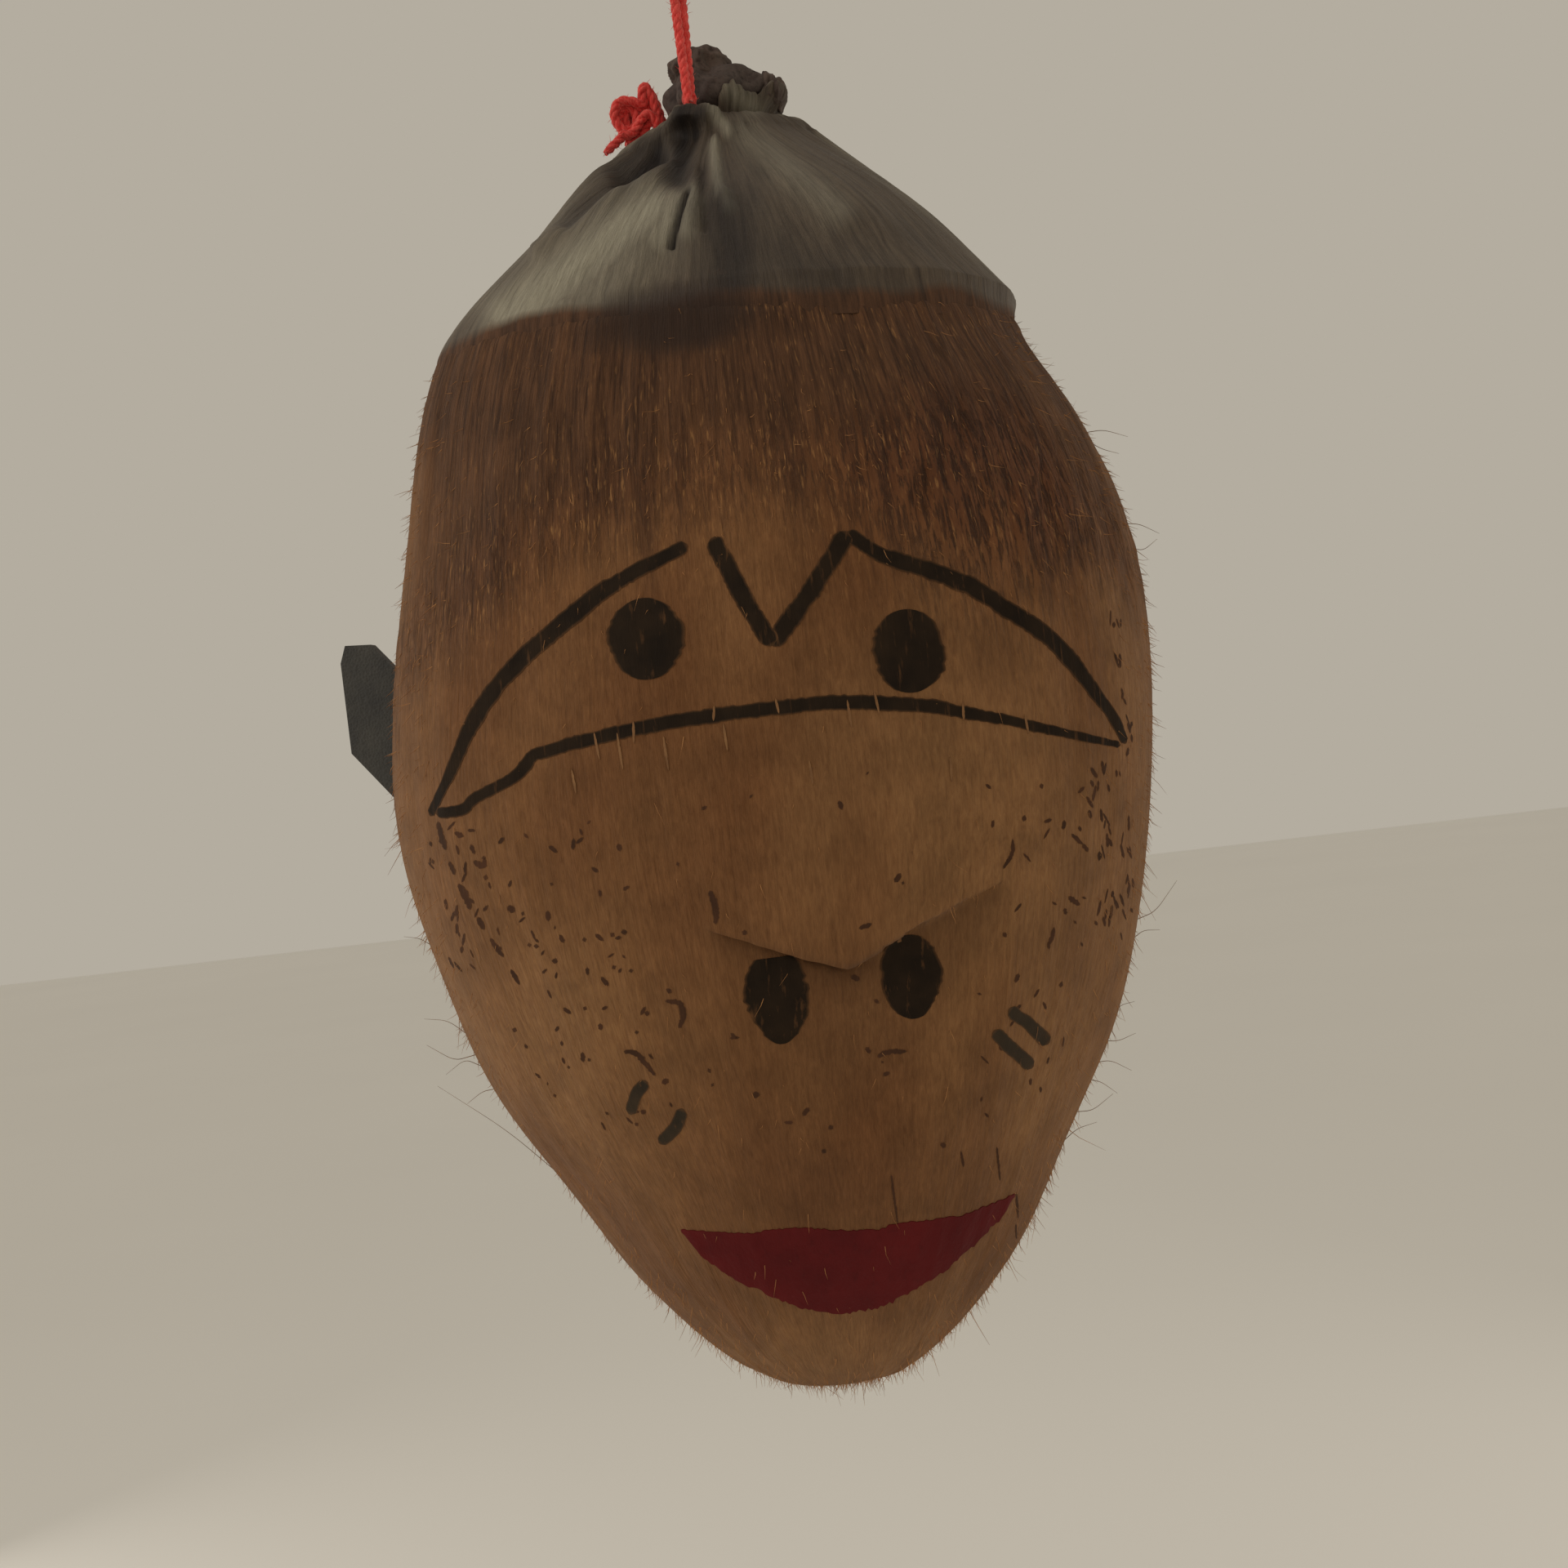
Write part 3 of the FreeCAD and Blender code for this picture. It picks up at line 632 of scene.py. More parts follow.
# painted shade in the folds and the pocket under the knot, and darker patches in the middle: points, width,
# share
SHADE_AND_DARK = [
    ([(-1.5, 0), (-3.9, 13)], 3.0, 0.9),
    ([(-8, 8), (-14.7, 11.7)], 3.4, 1.0),
    ([(-14.7, 11.7), (-26.5, 20.3)], 1.8, 0.6),
    ([(-2.4, 17.1), (-4.5, 21.5), (-6.8, 26.9)], 0.9, 1.0),
    ([(0.8, 12), (-0.2, 24)], 1.1, 0.6),
    ([(4, 22), (5, 30), (4, 40)], 6.5, 0.85),
    ([(10, 30), (26, 38)], 6.0, 0.4),
    ([(1.5, 1.5), (0, 5)], 1.6, 0.8),
]


def painted(x, drop, strokes):
    total = np.zeros(len(x))
    for line, width, amount in strokes:
        total = np.maximum(total, amount * near_line(x, drop, line, width))
    return total


HOLE_TURN = math.radians(242)  # where the yarn goes in, seen from inside the neck


def rim_height(turn):
    """Angle above level, seen from inside the neck, up to which the skin wraps the stub."""
    towards_front = max(0.0, math.cos(turn + math.radians(50))) ** 2
    towards_back = max(0.0, -math.cos(turn + math.radians(80))) ** 2
    return math.radians(22 + 36 * towards_front + 26 * towards_back + 4 * math.sin(5 * turn + 1))


def build_cap(material):
    spacing = 0.62
    neck_drop = 6.0
    drops = even_drops(neck_drop, CAP_DROP + 8, spacing)[::-1]
    x, y = axis(neck_drop)
    inside = Vector((x, y, HOLE.z - neck_drop * MM))
    points = []
    for drop in drops:
        points += [form_point(turn, drop) for turn in TURNS]
    collar_rows = 26
    for k in range(1, collar_rows + 1):
        for turn in TURNS:
            lift = rim_height(turn) * min(1.0, k / (collar_rows - 3))
            level = Vector((math.cos(turn), math.sin(turn), 0))
            out = level * math.cos(lift) + Vector((0, 0, math.sin(lift)))
            hit = STEM_FORM.ray_cast(inside + out * 0.1, -out, 0.1)[0]
            tuck = max(0, k - (collar_rows - 3)) * 1.3
            turned = (turn - HOLE_TURN + math.pi) % (2 * math.pi) - math.pi
            lip = 4.4 * math.exp(-((turned / math.radians(24)) ** 2)) * min(1.0, k / 9)
            points.append(hit + out * (0.7 + lip - tuck) * MM)
    points = np.array(points)[::-1]
    rows = len(drops) + collar_rows
    turns = np.tile(TURNS[::-1], rows)
    level = np.repeat(np.arange(rows), COLUMNS)
    points = softened(points, rows, COLUMNS, 0.7 * ((level > 2) & (level < collar_rows + 10)), 10)
    run = np.concatenate([[0], np.cumsum(np.linalg.norm(np.diff(points[::COLUMNS], axis=0), axis=1))]) * 100
    round_it = np.stack([np.cos(turns), np.sin(turns)], 1) * GRAIN_RADIUS
    grain = np.concatenate([round_it, np.repeat(run, COLUMNS)[:, None]], 1)
    normal = -normals_of(points, rows, COLUMNS)
    sx, sdrop = seen(points)
    to_eye = np.array(EYE) - points
    facing = (normal * to_eye).sum(1) / np.linalg.norm(to_eye, axis=1)
    front = step(facing, 0.0, 0.2)
    relief = np.zeros(len(points))
    for line, width, height in FOLDS:
        relief += height * near_line(sx, sdrop, line, width)
    drop = (HOLE.z - points[:, 2]) / MM
    pinch = np.exp(-np.clip(drop + 4, 0, None) / 15)
    pleats = sum(np.sin(n * turns + n + 0.05 * drop) for n in (9, 14, 23, 31)) / 2
    pleats *= np.where(level < collar_rows, 0.35, 1.0)
    relief = relief * front + pinch * pleats * (1.1 - 0.6 * front) + 0.2 * waves(grain, (1.6, 1.6, 4), 21)
    relief += 0.06 * waves(grain, (0.3, 0.3, 2), 22)
    past = past_edge(drop, turns, grain)
    edge = step(past, -3.2, 1.6)
    relief += 0.1 - 0.7 * step(past, 0.0, 3.5)
    points = points + normal * relief[:, None] * MM
    fields = husk_fields(points, grain, front)
    attributes = {
        "grain": grain,
        # silvery rubbed skin with painted sheen and painted highlights
        "silver_and_highlight": np.clip(painted(sx, sdrop, SILVER_AND_HIGHLIGHTS) * front + (1 - front) * 0.35, 0, 1),
        # painted shade in the folds and the troughs of the pleats, and darker patches
        "dark": np.clip(painted(sx, sdrop, SHADE_AND_DARK) * front + pinch * np.clip(-pleats, 0, 1) * 0.5, 0, 1),
        "stain": fields["stain"],
        "edge": edge,
    }
    faces = [f[::-1] for f in grid_faces(rows, COLUMNS)]
    cap = mesh_object("stem_skin", points, faces, material, attributes)
    declare(cap, "head", "husk_skin", "skin_cap")


def build_lump(name, node, material, seed, slot, crease):
    """A wrinkled lump that fills the place of a rounded CAD solid."""
    low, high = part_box(node)
    centre, half = np.array(low + high) / 2, np.array(high - low) / 2
    rows, columns = 60, 90
    ball = []
    for i in range(rows):
        lean = math.pi * (i + 0.5) / rows
        for j in range(columns):
            turn = 2 * math.pi * j / columns
            ball.append((math.sin(lean) * math.cos(turn), math.sin(lean) * math.sin(turn), math.cos(lean)))
    ball = np.array(ball)
    size = 1 + 0.10 * waves(ball, (1.6, 1.6, 1.6), seed) + 0.05 * waves(ball, (0.5, 0.5, 0.9), seed + 1)
    size -= crease * np.abs(waves(ball, (0.8, 0.8, 2.4), seed + 2))
    points = centre + ball * half * size[:, None]
    ends = [centre + half * (0, 0, 0.98), centre - half * (0, 0, 0.98)]
    points = np.concatenate([points, ends])
    faces = grid_faces(rows, columns)
    top, bottom = rows * columns, rows * columns + 1
    last = (rows - 1) * columns
    faces += [(top, j, (j + 1) % columns) for j in range(columns)]
    faces += [(bottom, last + (j + 1) % columns, last + j) for j in range(columns)]
    lump = mesh_object(name, points, faces, material)
    declare(lump, "head", slot, node)


# ---------------------------------------------------------------- yarn and cord
def curve_points(route, pieces=24):
    """Points along a smooth NURBS line with the route's points as its control points."""
    data = bpy.data.curves.new("route", "CURVE")
    data.dimensions = "3D"
    spline = data.splines.new("NURBS")
    spline.points.add(len(route) - 1)
    for point, place in zip(spline.points, route):
        point.co = (*place, 1.0)
    spline.order_u = 3
    spline.use_endpoint_u = True
    spline.resolution_u = pieces
    holder = link(bpy.data.objects.new("route", data))
    mesh = bpy.data.meshes.new_from_object(holder)
    found = np.array([v.co for v in mesh.vertices])
    bpy.data.objects.remove(holder)
    return found


def spaced(line, step_length):
    run = np.concatenate([[0], np.cumsum(np.linalg.norm(np.diff(line, axis=0), axis=1))])
    count = max(8, int(run[-1] / step_length) + 1)
    where = np.linspace(0, run[-1], count)
    return np.stack([np.interp(where, run, line[:, k]) for k in range(3)], 1), where


def sides_of(line):
    """Two unit vectors across the line at each point, carried along it without twisting."""
    ahead = np.gradient(line, axis=0)
    ahead /= np.linalg.norm(ahead, axis=1, keepdims=True)
    side = np.cross(ahead[0], (0.3, 1.0, 0.1))
    across = []
    for way in ahead:
        side = side - way * (side @ way)
        side /= np.linalg.norm(side)
        across.append(side)
    across = np.array(across)
    return across, np.cross(ahead, across)


def tube(line, radius, points, faces, around=7):
    """Adds a closed tube of varying radius round a line to the lists of points and faces."""
    a, b = sides_of(line)
    start = len(points)
    radius = np.broadcast_to(radius, len(line))
    for k in range(len(line)):
        for j in range(around):
            turn = 2 * math.pi * j / around
            points.append(line[k] + (a[k] * math.cos(turn) + b[k] * math.sin(turn)) * radius[k])
    faces += [f[::-1] for f in grid_faces(len(line), around, True, start)]
    faces.append(tuple(range(start, start + around)))
    faces.append(tuple(range(start + (len(line) - 1) * around, start + len(line) * around))[::-1])


YARN_RADIUS = 0.95 * MM
PLIES = 3
PLY_PITCH = 5.2 * MM


def yarn(line, points, faces, phase=0.0, thin=None):
    """Three twisted plies round a line; thin gives the share of full thickness along it."""
    line, run = spaced(line, 0.35 * MM)
    a, b = sides_of(line)
    share = np.ones(len(line)) if thin is None else np.interp(run / run[-1], *thin)
    for ply in range(PLIES):
        turn = phase + run * 2 * math.pi / PLY_PITCH + ply * 2 * math.pi / PLIES
        reach = 0.46 * YARN_RADIUS * share
        path = line + a * (np.cos(turn) * reach)[:, None] + b * (np.sin(turn) * reach)[:, None]
        tube(path, 0.6 * YARN_RADIUS * share, points, faces)


def yarn_fluff(line, count, seed, points, faces):
    """Short loose fibres that stand off the yarn."""
    draw = np.random.default_rng(seed)
    line, _ = spaced(line, 0.3 * MM)
    a, b = sides_of(line)
    ahead = np.gradient(line, axis=0)
    ahead /= np.linalg.norm(ahead, axis=1, keepdims=True)
    for _ in range(count):
        k = draw.integers(0, len(line))
        turn = draw.uniform(0, 2 * math.pi)
        out = a[k] * math.cos(turn) + b[k] * math.sin(turn)
        way = ahead[k] * draw.uniform(-1, 1) + out * draw.uniform(0.4, 1.0)
        root = line[k] + out * YARN_RADIUS * 0.7
        long = draw.uniform(0.5, 1.5) * MM
        bend = np.cross(way, out) * draw.uniform(-0.4, 0.4)
        path = [root + way * long * t + bend * long * t * t for t in (0.0, 0.35, 0.7, 1.0)]
        tube(np.array(path), np.array([0.05, 0.045, 0.035, 0.015]) * MM, points, faces, 3)


def build_cord(material):
    """The two yarns up to the loop's knot: side by side above, one before the other at the hole."""
    top = middle("loop_knot")
    route = [HOLE, HOLE + Vector((0, 0, 6 * MM)), (HOLE + top) / 2, top - Vector((0, 0, 9 * MM))]
    route.append(top - Vector((0, 0, 2.4 * MM)))
    line, run = spaced(curve_points(route), 0.4 * MM)
    points, faces = [], []
    share = run / run[-1]
    turn = np.radians(72 - 62 * share)
    for hand in (-1, 1):
        aside = np.stack([np.cos(turn), np.sin(turn), 0 * turn], 1) * hand * YARN_RADIUS * 0.95
        strand = line + aside
        yarn(strand, points, faces, phase=1.3 * hand)
        yarn_fluff(strand, 90, 31 + hand, points, faces)
    cord = mesh_object("cord_yarns", points, faces, material)
    declare(cord, "cord", "yarn", "cord")
    return cord, line, float(run[-1])


def yarn_piece(name, routes, body, replaced, material, fluff=60, seed=41, thin=None):
    points, faces = [], []
    for k, route in enumerate(routes):
        line = curve_points(route)
        yarn(line, points, faces, phase=k, thin=thin)
        yarn_fluff(line, fluff, seed + k, points, faces)
    piece = mesh_object(name, points, faces, material)
    declare(piece, body, "yarn", *replaced)
    return piece


def build_loop(material):
    """A teardrop of single yarn; the nail bears on the inside of its top."""
    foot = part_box("hanging_loop")[0].z
    ring = 4.55 * MM
    centre = YARN_RADIUS - ring
    side = []
    for degrees in (-22, 10, 40, 70):
        turn = math.radians(degrees)
        side.append(Vector((math.cos(turn) * ring * 1.04, 0, centre + math.sin(turn) * ring * 1.04)))
    right = [Vector((1.1 * MM, 0, foot - 2 * MM)), Vector((1.8 * MM, 0, foot + 2 * MM))] + side
    left = [Vector((-p.x, 0, p.z)) for p in right]
    return yarn_piece("loop_yarn", [left + right[::-1]], "hanging_loop", ["hanging_loop"], material, 90)


def build_top_knot(material):
    """Two yarns tied in an overhand knot."""
    centre = middle("loop_knot")
    routes = []
    for shift in (-0.25, 0.25):
        route = []
        for k in range(15):
            turn = 2 * math.pi * k / 13 * 2 + shift
            reach = (1.75 + 0.85 * math.cos(1.5 * turn)) * MM
            rise = 2.0 * math.sin(1.5 * turn) * MM + (k / 14 - 0.5) * 2.2 * MM
            route.append(centre + Vector((reach * math.cos(turn), reach * math.sin(turn), rise)))
        routes.append(route)
    return yarn_piece("loop_knot_yarn", routes, "loop_knot", ["loop_knot"], material, 50, 51)


def build_hole_turn(material):
    """Where the yarns bend into the hole."""
    side = Vector((-0.35, 0.937, 0))
    start = HOLE + Vector((0, 0, 1.6 * MM))
    routes = []
    for hand in (-0.55, 0.55):
        aside = Vector((hand * MM, 0.25 * hand * MM, 0))
        routes.append([start + aside, HOLE + aside * 0.9 + Vector((0, 0, 0.4 * MM)), HOLE + side * 1.7 * MM])
    yarn_piece("yarn_bend", routes, "cord_turn", ["cord_turn"], material, 10, 61)
    run_end = HOLE + side * 15.5 * MM
    yarn_piece("yarn_in_stub", [[HOLE + side * 2.3 * MM, HOLE + side * 8 * MM, run_end]], "cord_run",
               ["cord_run"], material, 0, 63)


# the tangle at the left of the stub: x, y and drop of the yarn as it loops
TANGLE = [
    (-6.2, 14.8, -0.5), (-7.4, 14.0, -6.5), (-8.6, 13.4, -10.2), (-9.9, 13.2, -8.4), (-9.2, 13.8, -6.0),
    (-12.0, 13.0, -7.0), (-14.6, 12.8, -7.2), (-16.0, 13.2, -4.6), (-14.8, 13.8, -1.6), (-12.0, 14.2, -1.2),
    (-11.0, 14.4, -4.0), (-12.4, 14.8, -6.8), (-14.0, 15.2, -4.4), (-12.6, 15.2, -0.6), (-9.8, 14.8, 1.0),
    (-7.4, 14.2, 0.2), (-7.2, 13.6, -2.8), (-9.0, 13.2, -4.4), (-10.8, 13.0, -2.4), (-12.6, 12.8, 0.4),
    (-14.6, 12.4, -0.2),
]
TANGLE_TAIL = [(-14.0, 12.8, -0.4), (-15.4, 12.2, 1.2), (-16.6, 11.6, 2.2), (-18.2, 11.0, 3.8)]


def build_tangle(material):
    routes = []
    for x, y, drop in ((0, 0, 0), (0.7, 1.7, 1.0)):
        routes.append([at(p[0] + x, p[1] + y, p[2] + drop) for p in TANGLE])
    yarn_piece("knot_yarn", routes, "head", ["stopper_knot"], material, 300, 71)
    tail = [at(*p) for p in TANGLE_TAIL]
    thinning = ([0, 0.8, 1], [1, 0.9, 0.6])
    yarn_piece("knot_tail_yarn", [tail], "head", ["knot_tail"], material, 40, 73, thinning)


# ---------------------------------------------------------------- marks on the face
def skin_tree(obj):
    mesh = obj.data
    return BVHTree.FromPolygons([v.co for v in mesh.vertices], [list(p.vertices) for p in mesh.polygons])


class Face:
    """Puts drawn marks on the husk: outlines in x and drop become a thin film on its surface."""

    def __init__(self, husk):
        self.tree = skin_tree(husk)

    def point(self, x, drop, lift):
        hit, normal, _, _ = self.tree.ray_cast(at(x, -140, drop), Vector((0, 1, 0)), 0.2)
        if hit is None:
            raise RuntimeError(f"no husk in front of x {x}, drop {drop}")
        return hit + normal * lift * MM

    def film(self, grids, lift):
        """Grids of (x, drop) as one closed film: its front stands off the husk and its back lies in it."""
        points, faces = [], []
        for grid in grids:
            rows, columns = len(grid), len(grid[0])
            start = len(points)
            for layer in (lift, -0.35):
                points += [self.point(x, drop, layer) for row in grid for x, drop in row]
            front = grid_faces(rows, columns, False, start)
            back = start + rows * columns
            faces += front
            faces += [tuple(i + rows * columns for i in f[::-1]) for f in front]
            ring = [start + j for j in range(columns)]
            ring += [start + i * columns + columns - 1 for i in range(1, rows)]
            ring += [start + (rows - 1) * columns + j for j in range(columns - 2, -1, -1)]
            ring += [start + i * columns for i in range(rows - 2, 0, -1)]
            for a, b in zip(ring, ring[1:] + ring[:1]):
                faces.append((a, b, b - start + back, a - start + back))
        return points, faces


def smooth_line(points, spacing):
    """A soft curve through points in x and drop."""
    points = np.array(points, float)
    if len(points) == 2:
        count = max(3, int(np.hypot(*(points[1] - points[0])) / spacing) + 1)
        return points[0] + (points[1] - points[0]) * np.linspace(0, 1, count)[:, None]
    padded = np.concatenate([[2 * points[0] - points[1]], points, [2 * points[-1] - points[-2]]])
    found = []
    for p0, p1, p2, p3 in zip(padded, padded[1:], padded[2:], padded[3:]):
        count = max(2, int(np.hypot(*(p2 - p1)) / spacing))
        for t in np.arange(count) / count:
            found.append(0.5 * (2 * p1 + (p2 - p0) * t + (2 * p0 - 5 * p1 + 4 * p2 - p3) * t ** 2
                                + (3 * p1 - p0 - 3 * p2 + p3) * t ** 3))
    return np.array(found + [points[-1]])


def stroke_grid(points, width, seed, taper=(1.0, 1.0), ragged=0.07, spacing=0.55):
    """A marker stroke as a grid of points, with uneven sides and rounded ends."""
    line = smooth_line(points, spacing)
    ahead = np.gradient(line, axis=0)
    ahead /= np.linalg.norm(ahead, axis=1, keepdims=True)
    across = np.stack([-ahead[:, 1], ahead[:, 0]], 1)
    run = np.concatenate([[0], np.cumsum(np.linalg.norm(np.diff(line, axis=0), axis=1))])
    draw = np.random.default_rng(seed)
    half = width / 2 * np.interp(run / run[-1], [0, 0.3, 0.7, 1], [taper[0], 1, 1, taper[1]])
    for end in (run, run[-1] - run):
        near = np.clip(end / half, 0.02, 1)
        half = half * np.sqrt(1 - (1 - near) ** 2)
    sides = []
    run_points = np.arange(0, run[-1] + 3, 2.2)
    for _ in range(2):
        slow = np.interp(run, run_points, draw.normal(0, 0.07, len(run_points)))
        sides.append(half * (1 + slow + draw.normal(0, ragged, len(run)) * 0.5))
    shares = (-1, -0.75, -0.25, 0.25, 0.75, 1)
    grid = []
    for k in range(len(line)):
        row = [line[k] + across[k] * (s * sides[0 if s < 0 else 1][k]) for s in shares]
        grid.append([tuple(p) for p in row])
    return grid[::-1]


def oval_grid(centre, halves, seed, points_down=0.0, top_cut=None):
    """A filled oval as a grid of rows from left to right; points_down narrows its lower end."""
    draw = np.random.default_rng(seed)
    phases = draw.uniform(0, 6.28, 4)
    x0, drop0 = centre
    rows = []
    for k in range(33):
        lean = math.pi * (k / 32 - 0.5) * 0.985
        high = math.sin(lean)
        drop = drop0 + halves[1] * high
        if top_cut:
            drop = max(drop, top_cut)
        wide = halves[0] * math.cos(lean) * (1 - points_down * (high + 1) / 2)
        left = wide * (1 + 0.05 * math.sin(3 * lean + phases[0]) + 0.03 * draw.normal())
        right = wide * (1 + 0.05 * math.sin(4 * lean + phases[1]) + 0.03 * draw.normal())
        rows.append([(x0 - left + (left + right) * j / 20, drop) for j in range(21)])
    return rows


def mark(face, name, grids, replaced, material, slot="marker_ink", lift=0.08):
    points, faces = face.film(grids, lift)
    rims = []
    for grid in grids:
        rim = np.zeros((len(grid), len(grid[0])))
        rim[:, [0, -1]] = 1
        rim[[0, -1]] = 1
        rims += list(rim.ravel()) * 2
    piece = mesh_object(name, points, faces, material, {"rim": rims})
    piece.data.set_sharp_from_angle(angle=math.radians(40))
    declare(piece, "head", slot, *([replaced] if replaced else []))


BROW_LEFT = [(-58.6, 132.8), (-53.1, 126), (-48.8, 119.4), (-45.1, 115), (-39.5, 110), (-33.7, 106.2),
             (-28.2, 102.8), (-22.3, 99.5), (-17.5, 97.3), (-12.3, 95.6), (-8.0, 94.0)]
BROW_RIGHT = [(17.8, 95.0), (23.4, 99.3), (31.5, 102.8), (37.5, 105.7), (43.3, 110), (49.5, 114.5),
              (53.7, 119.1), (57.0, 123.9), (59.6, 127.4), (61.7, 130.8), (63.2, 134)]
NOTCH = [(-3.8, 93.3), (-0.4, 102.4), (3.8, 112)], [(3.8, 112), (11.7, 103), (18, 94.9)]
MASK_LINE = [
    (-57.1, 132.5), (-51.4, 132.4), (-48.7, 130.8), (-41.4, 128.2), (-38.8, 126.3), (-37.2, 124.9),
    (-31.3, 124), (-22.8, 123), (-14.4, 122.4), (-6.2, 122.1), (4.6, 122), (12.6, 122.2), (20.6, 123.1),
    (28.8, 124.7), (34.5, 126.3), (41.1, 128.1), (49.9, 130.8), (61.9, 134.2),
]
CHEEK_LEFT = [
    [(-25.3, 181.1), (-27.5, 183.6), (-29.1, 187.0)],
    [(-19.9, 186.5), (-21.7, 189.9), (-24.8, 192.7)],
]
CHEEK_RIGHT = [
    [(33.6, 179.7), (36.5, 183.4), (40.4, 187.9)],
    [(36.6, 176.3), (39.9, 179.6), (43.7, 184.2)],
]
MOUTH_TOP = [(-23.7, 209.7), (-11.3, 210.7), (-3.5, 210.3), (6.1, 212.2), (10.6, 212.6), (14.6, 211.8),
             (25.8, 212.8), (31, 212.1), (36, 211.6)]
MOUTH_LOW = [(-23.7, 209.7), (-20.9, 214.6), (-16, 219.4), (-9, 223.9), (-3.3, 227.4), (2.6, 229.1),
             (9.2, 228.8), (15.1, 226.3), (21.4, 223.6), (29.2, 218.5), (33.1, 215.7), (36, 211.6)]


def mouth_grid():
    """Columns from the left corner to the right one, each from the upper edge to the lower."""
    top, low = np.array(MOUTH_TOP), np.array(MOUTH_LOW)
    draw = np.random.default_rng(91)
    columns = []
    for x in np.linspace(-23.5, 35.8, 108):
        upper = np.interp(x, top[:, 0], top[:, 1]) + draw.normal(0, 0.12)
        lower = np.interp(x, low[:, 0], low[:, 1]) + draw.normal(0, 0.22)
        lower = max(lower, upper + 0.12)
        columns.append([(x, upper + (lower - upper) * k / 22) for k in range(23)])
    return [list(row) for row in zip(*columns)]


# drawn squiggles: points in x and drop, and width
SQUIGGLES = [
    ([(-20.2, 167.5), (-17.8, 168.2), (-17.6, 170.6), (-18.6, 172.3)], 1.0),
    ([(-28.4, 175.6), (-26.2, 176.2), (-24.8, 178.2), (-23.6, 180.2)], 1.0),
    ([(13.6, 181.6), (15.4, 180.9), (18.6, 181.2)], 0.9),
    ([(11.8, 179.6), (12.4, 180.8)], 0.9),
    ([(14.2, 184.9), (15.4, 184.4)], 0.8),
    ([(-7.9, 185.0), (-6.6, 185.2)], 1.1),
    ([(2.6, 197.0), (3.2, 196.2)], 0.8),
    ([(-10.6, 150.0), (-10.0, 153.4), (-10.4, 155.6)], 1.1),
    ([(12.6, 158.9), (14.8, 158.4)], 0.8),
    ([(14.0, 171.6), (14.8, 172.4)], 0.7),
    ([(37.6, 152.3), (39.4, 149.9), (39.7, 147.6)], 0.7),
    ([(44.5, 166.5), (45.4, 165.2), (45.9, 163.6)], 0.8),
    ([(49.0, 158.8), (51.2, 160.6)], 0.9),
    ([(50.5, 148.2), (52.6, 150.3)], 0.7),
    ([(-57.0, 134.0), (-56.4, 137.2), (-55.8, 139.0)], 1.3),
    ([(-55.4, 141.0), (-54.6, 143.4)], 1.0),
    ([(-54.2, 145.0), (-53.0, 147.6), (-52.6, 149.6)], 1.4),
    ([(-51.4, 151.0), (-50.4, 153.2)], 1.2),
    ([(-49.6, 154.8), (-47.6, 158.2)], 1.0),
    ([(-46.6, 160.4), (-45.4, 163.2)], 0.9),
    ([(-50.6, 141.4), (-48.8, 142.2), (-48.2, 141.0)], 1.0),
    ([(-45.4, 149.6), (-44.0, 150.4)], 1.2),
    ([(-53.6, 136.2), (-51.8, 137.0)], 0.9),
]
# fine upright cracks: x, drop of the top, drop of the foot
CRACKS = [(13.8, 202.5, 211.9), (26.2, 200.3, 203.5), (32.8, 201.2, 208.0), (36.2, 211.8, 217.5),
          (36.0, 218.6, 222.5)]


# pale fibres that cross the line under the eyes: x, upper and lower drop, lean
TICKS = [
    (-26.5, 122.5, 127, 0.4), (-22.7, 123, 129, 0.3), (-19.8, 121.5, 125, -0.3), (-15.2, 124.5, 130, 0.2),
    (-6.5, 120.5, 123, -0.4), (-5.4, 123.5, 128, 0.2), (3.4, 120.5, 123, 0.3), (14.8, 122, 126.5, 0.2),
    (19.3, 121.2, 124.8, 0.4), (33.6, 124.4, 127.4, -0.2), (44.0, 127.4, 130.6, 0.3), (7.6, 131, 135, 0.2),
    (-31.0, 128, 132, 0.3), (30.5, 133, 137, -0.2),
]


def scattered(count, seed, box_x, box_drop, upright):
    """Small seeded specks inside a box, each a short leaning dash."""
    draw = np.random.default_rng(seed)
    found = []
    for _ in range(count):
        x, drop = draw.uniform(*box_x), draw.uniform(*box_drop)
        x *= 1 - 0.2 * max(0, (drop - 165) / 30)
        lean = draw.normal(0, 1.0 - upright) + draw.choice([-0.25, 0.25])
        long = draw.uniform(0.5, 1.6) * (1 + upright)
        dx, dd = math.sin(lean) * long / 2, math.cos(lean) * long / 2
        width = draw.uniform(0.4, 1.0) * (1 - 0.35 * upright)
        found.append(([(x - dx, drop - dd), (x + dx, drop + dd)], width))
    return found


def small_grids(strokes, seed, taper, ragged):
    """A grid for each short stroke, given as its points and its width."""
    grids = []
    for k, (line, width) in enumerate(strokes):
        grids.append(stroke_grid(line, width, seed + k, taper, ragged, 0.3))
    return grids


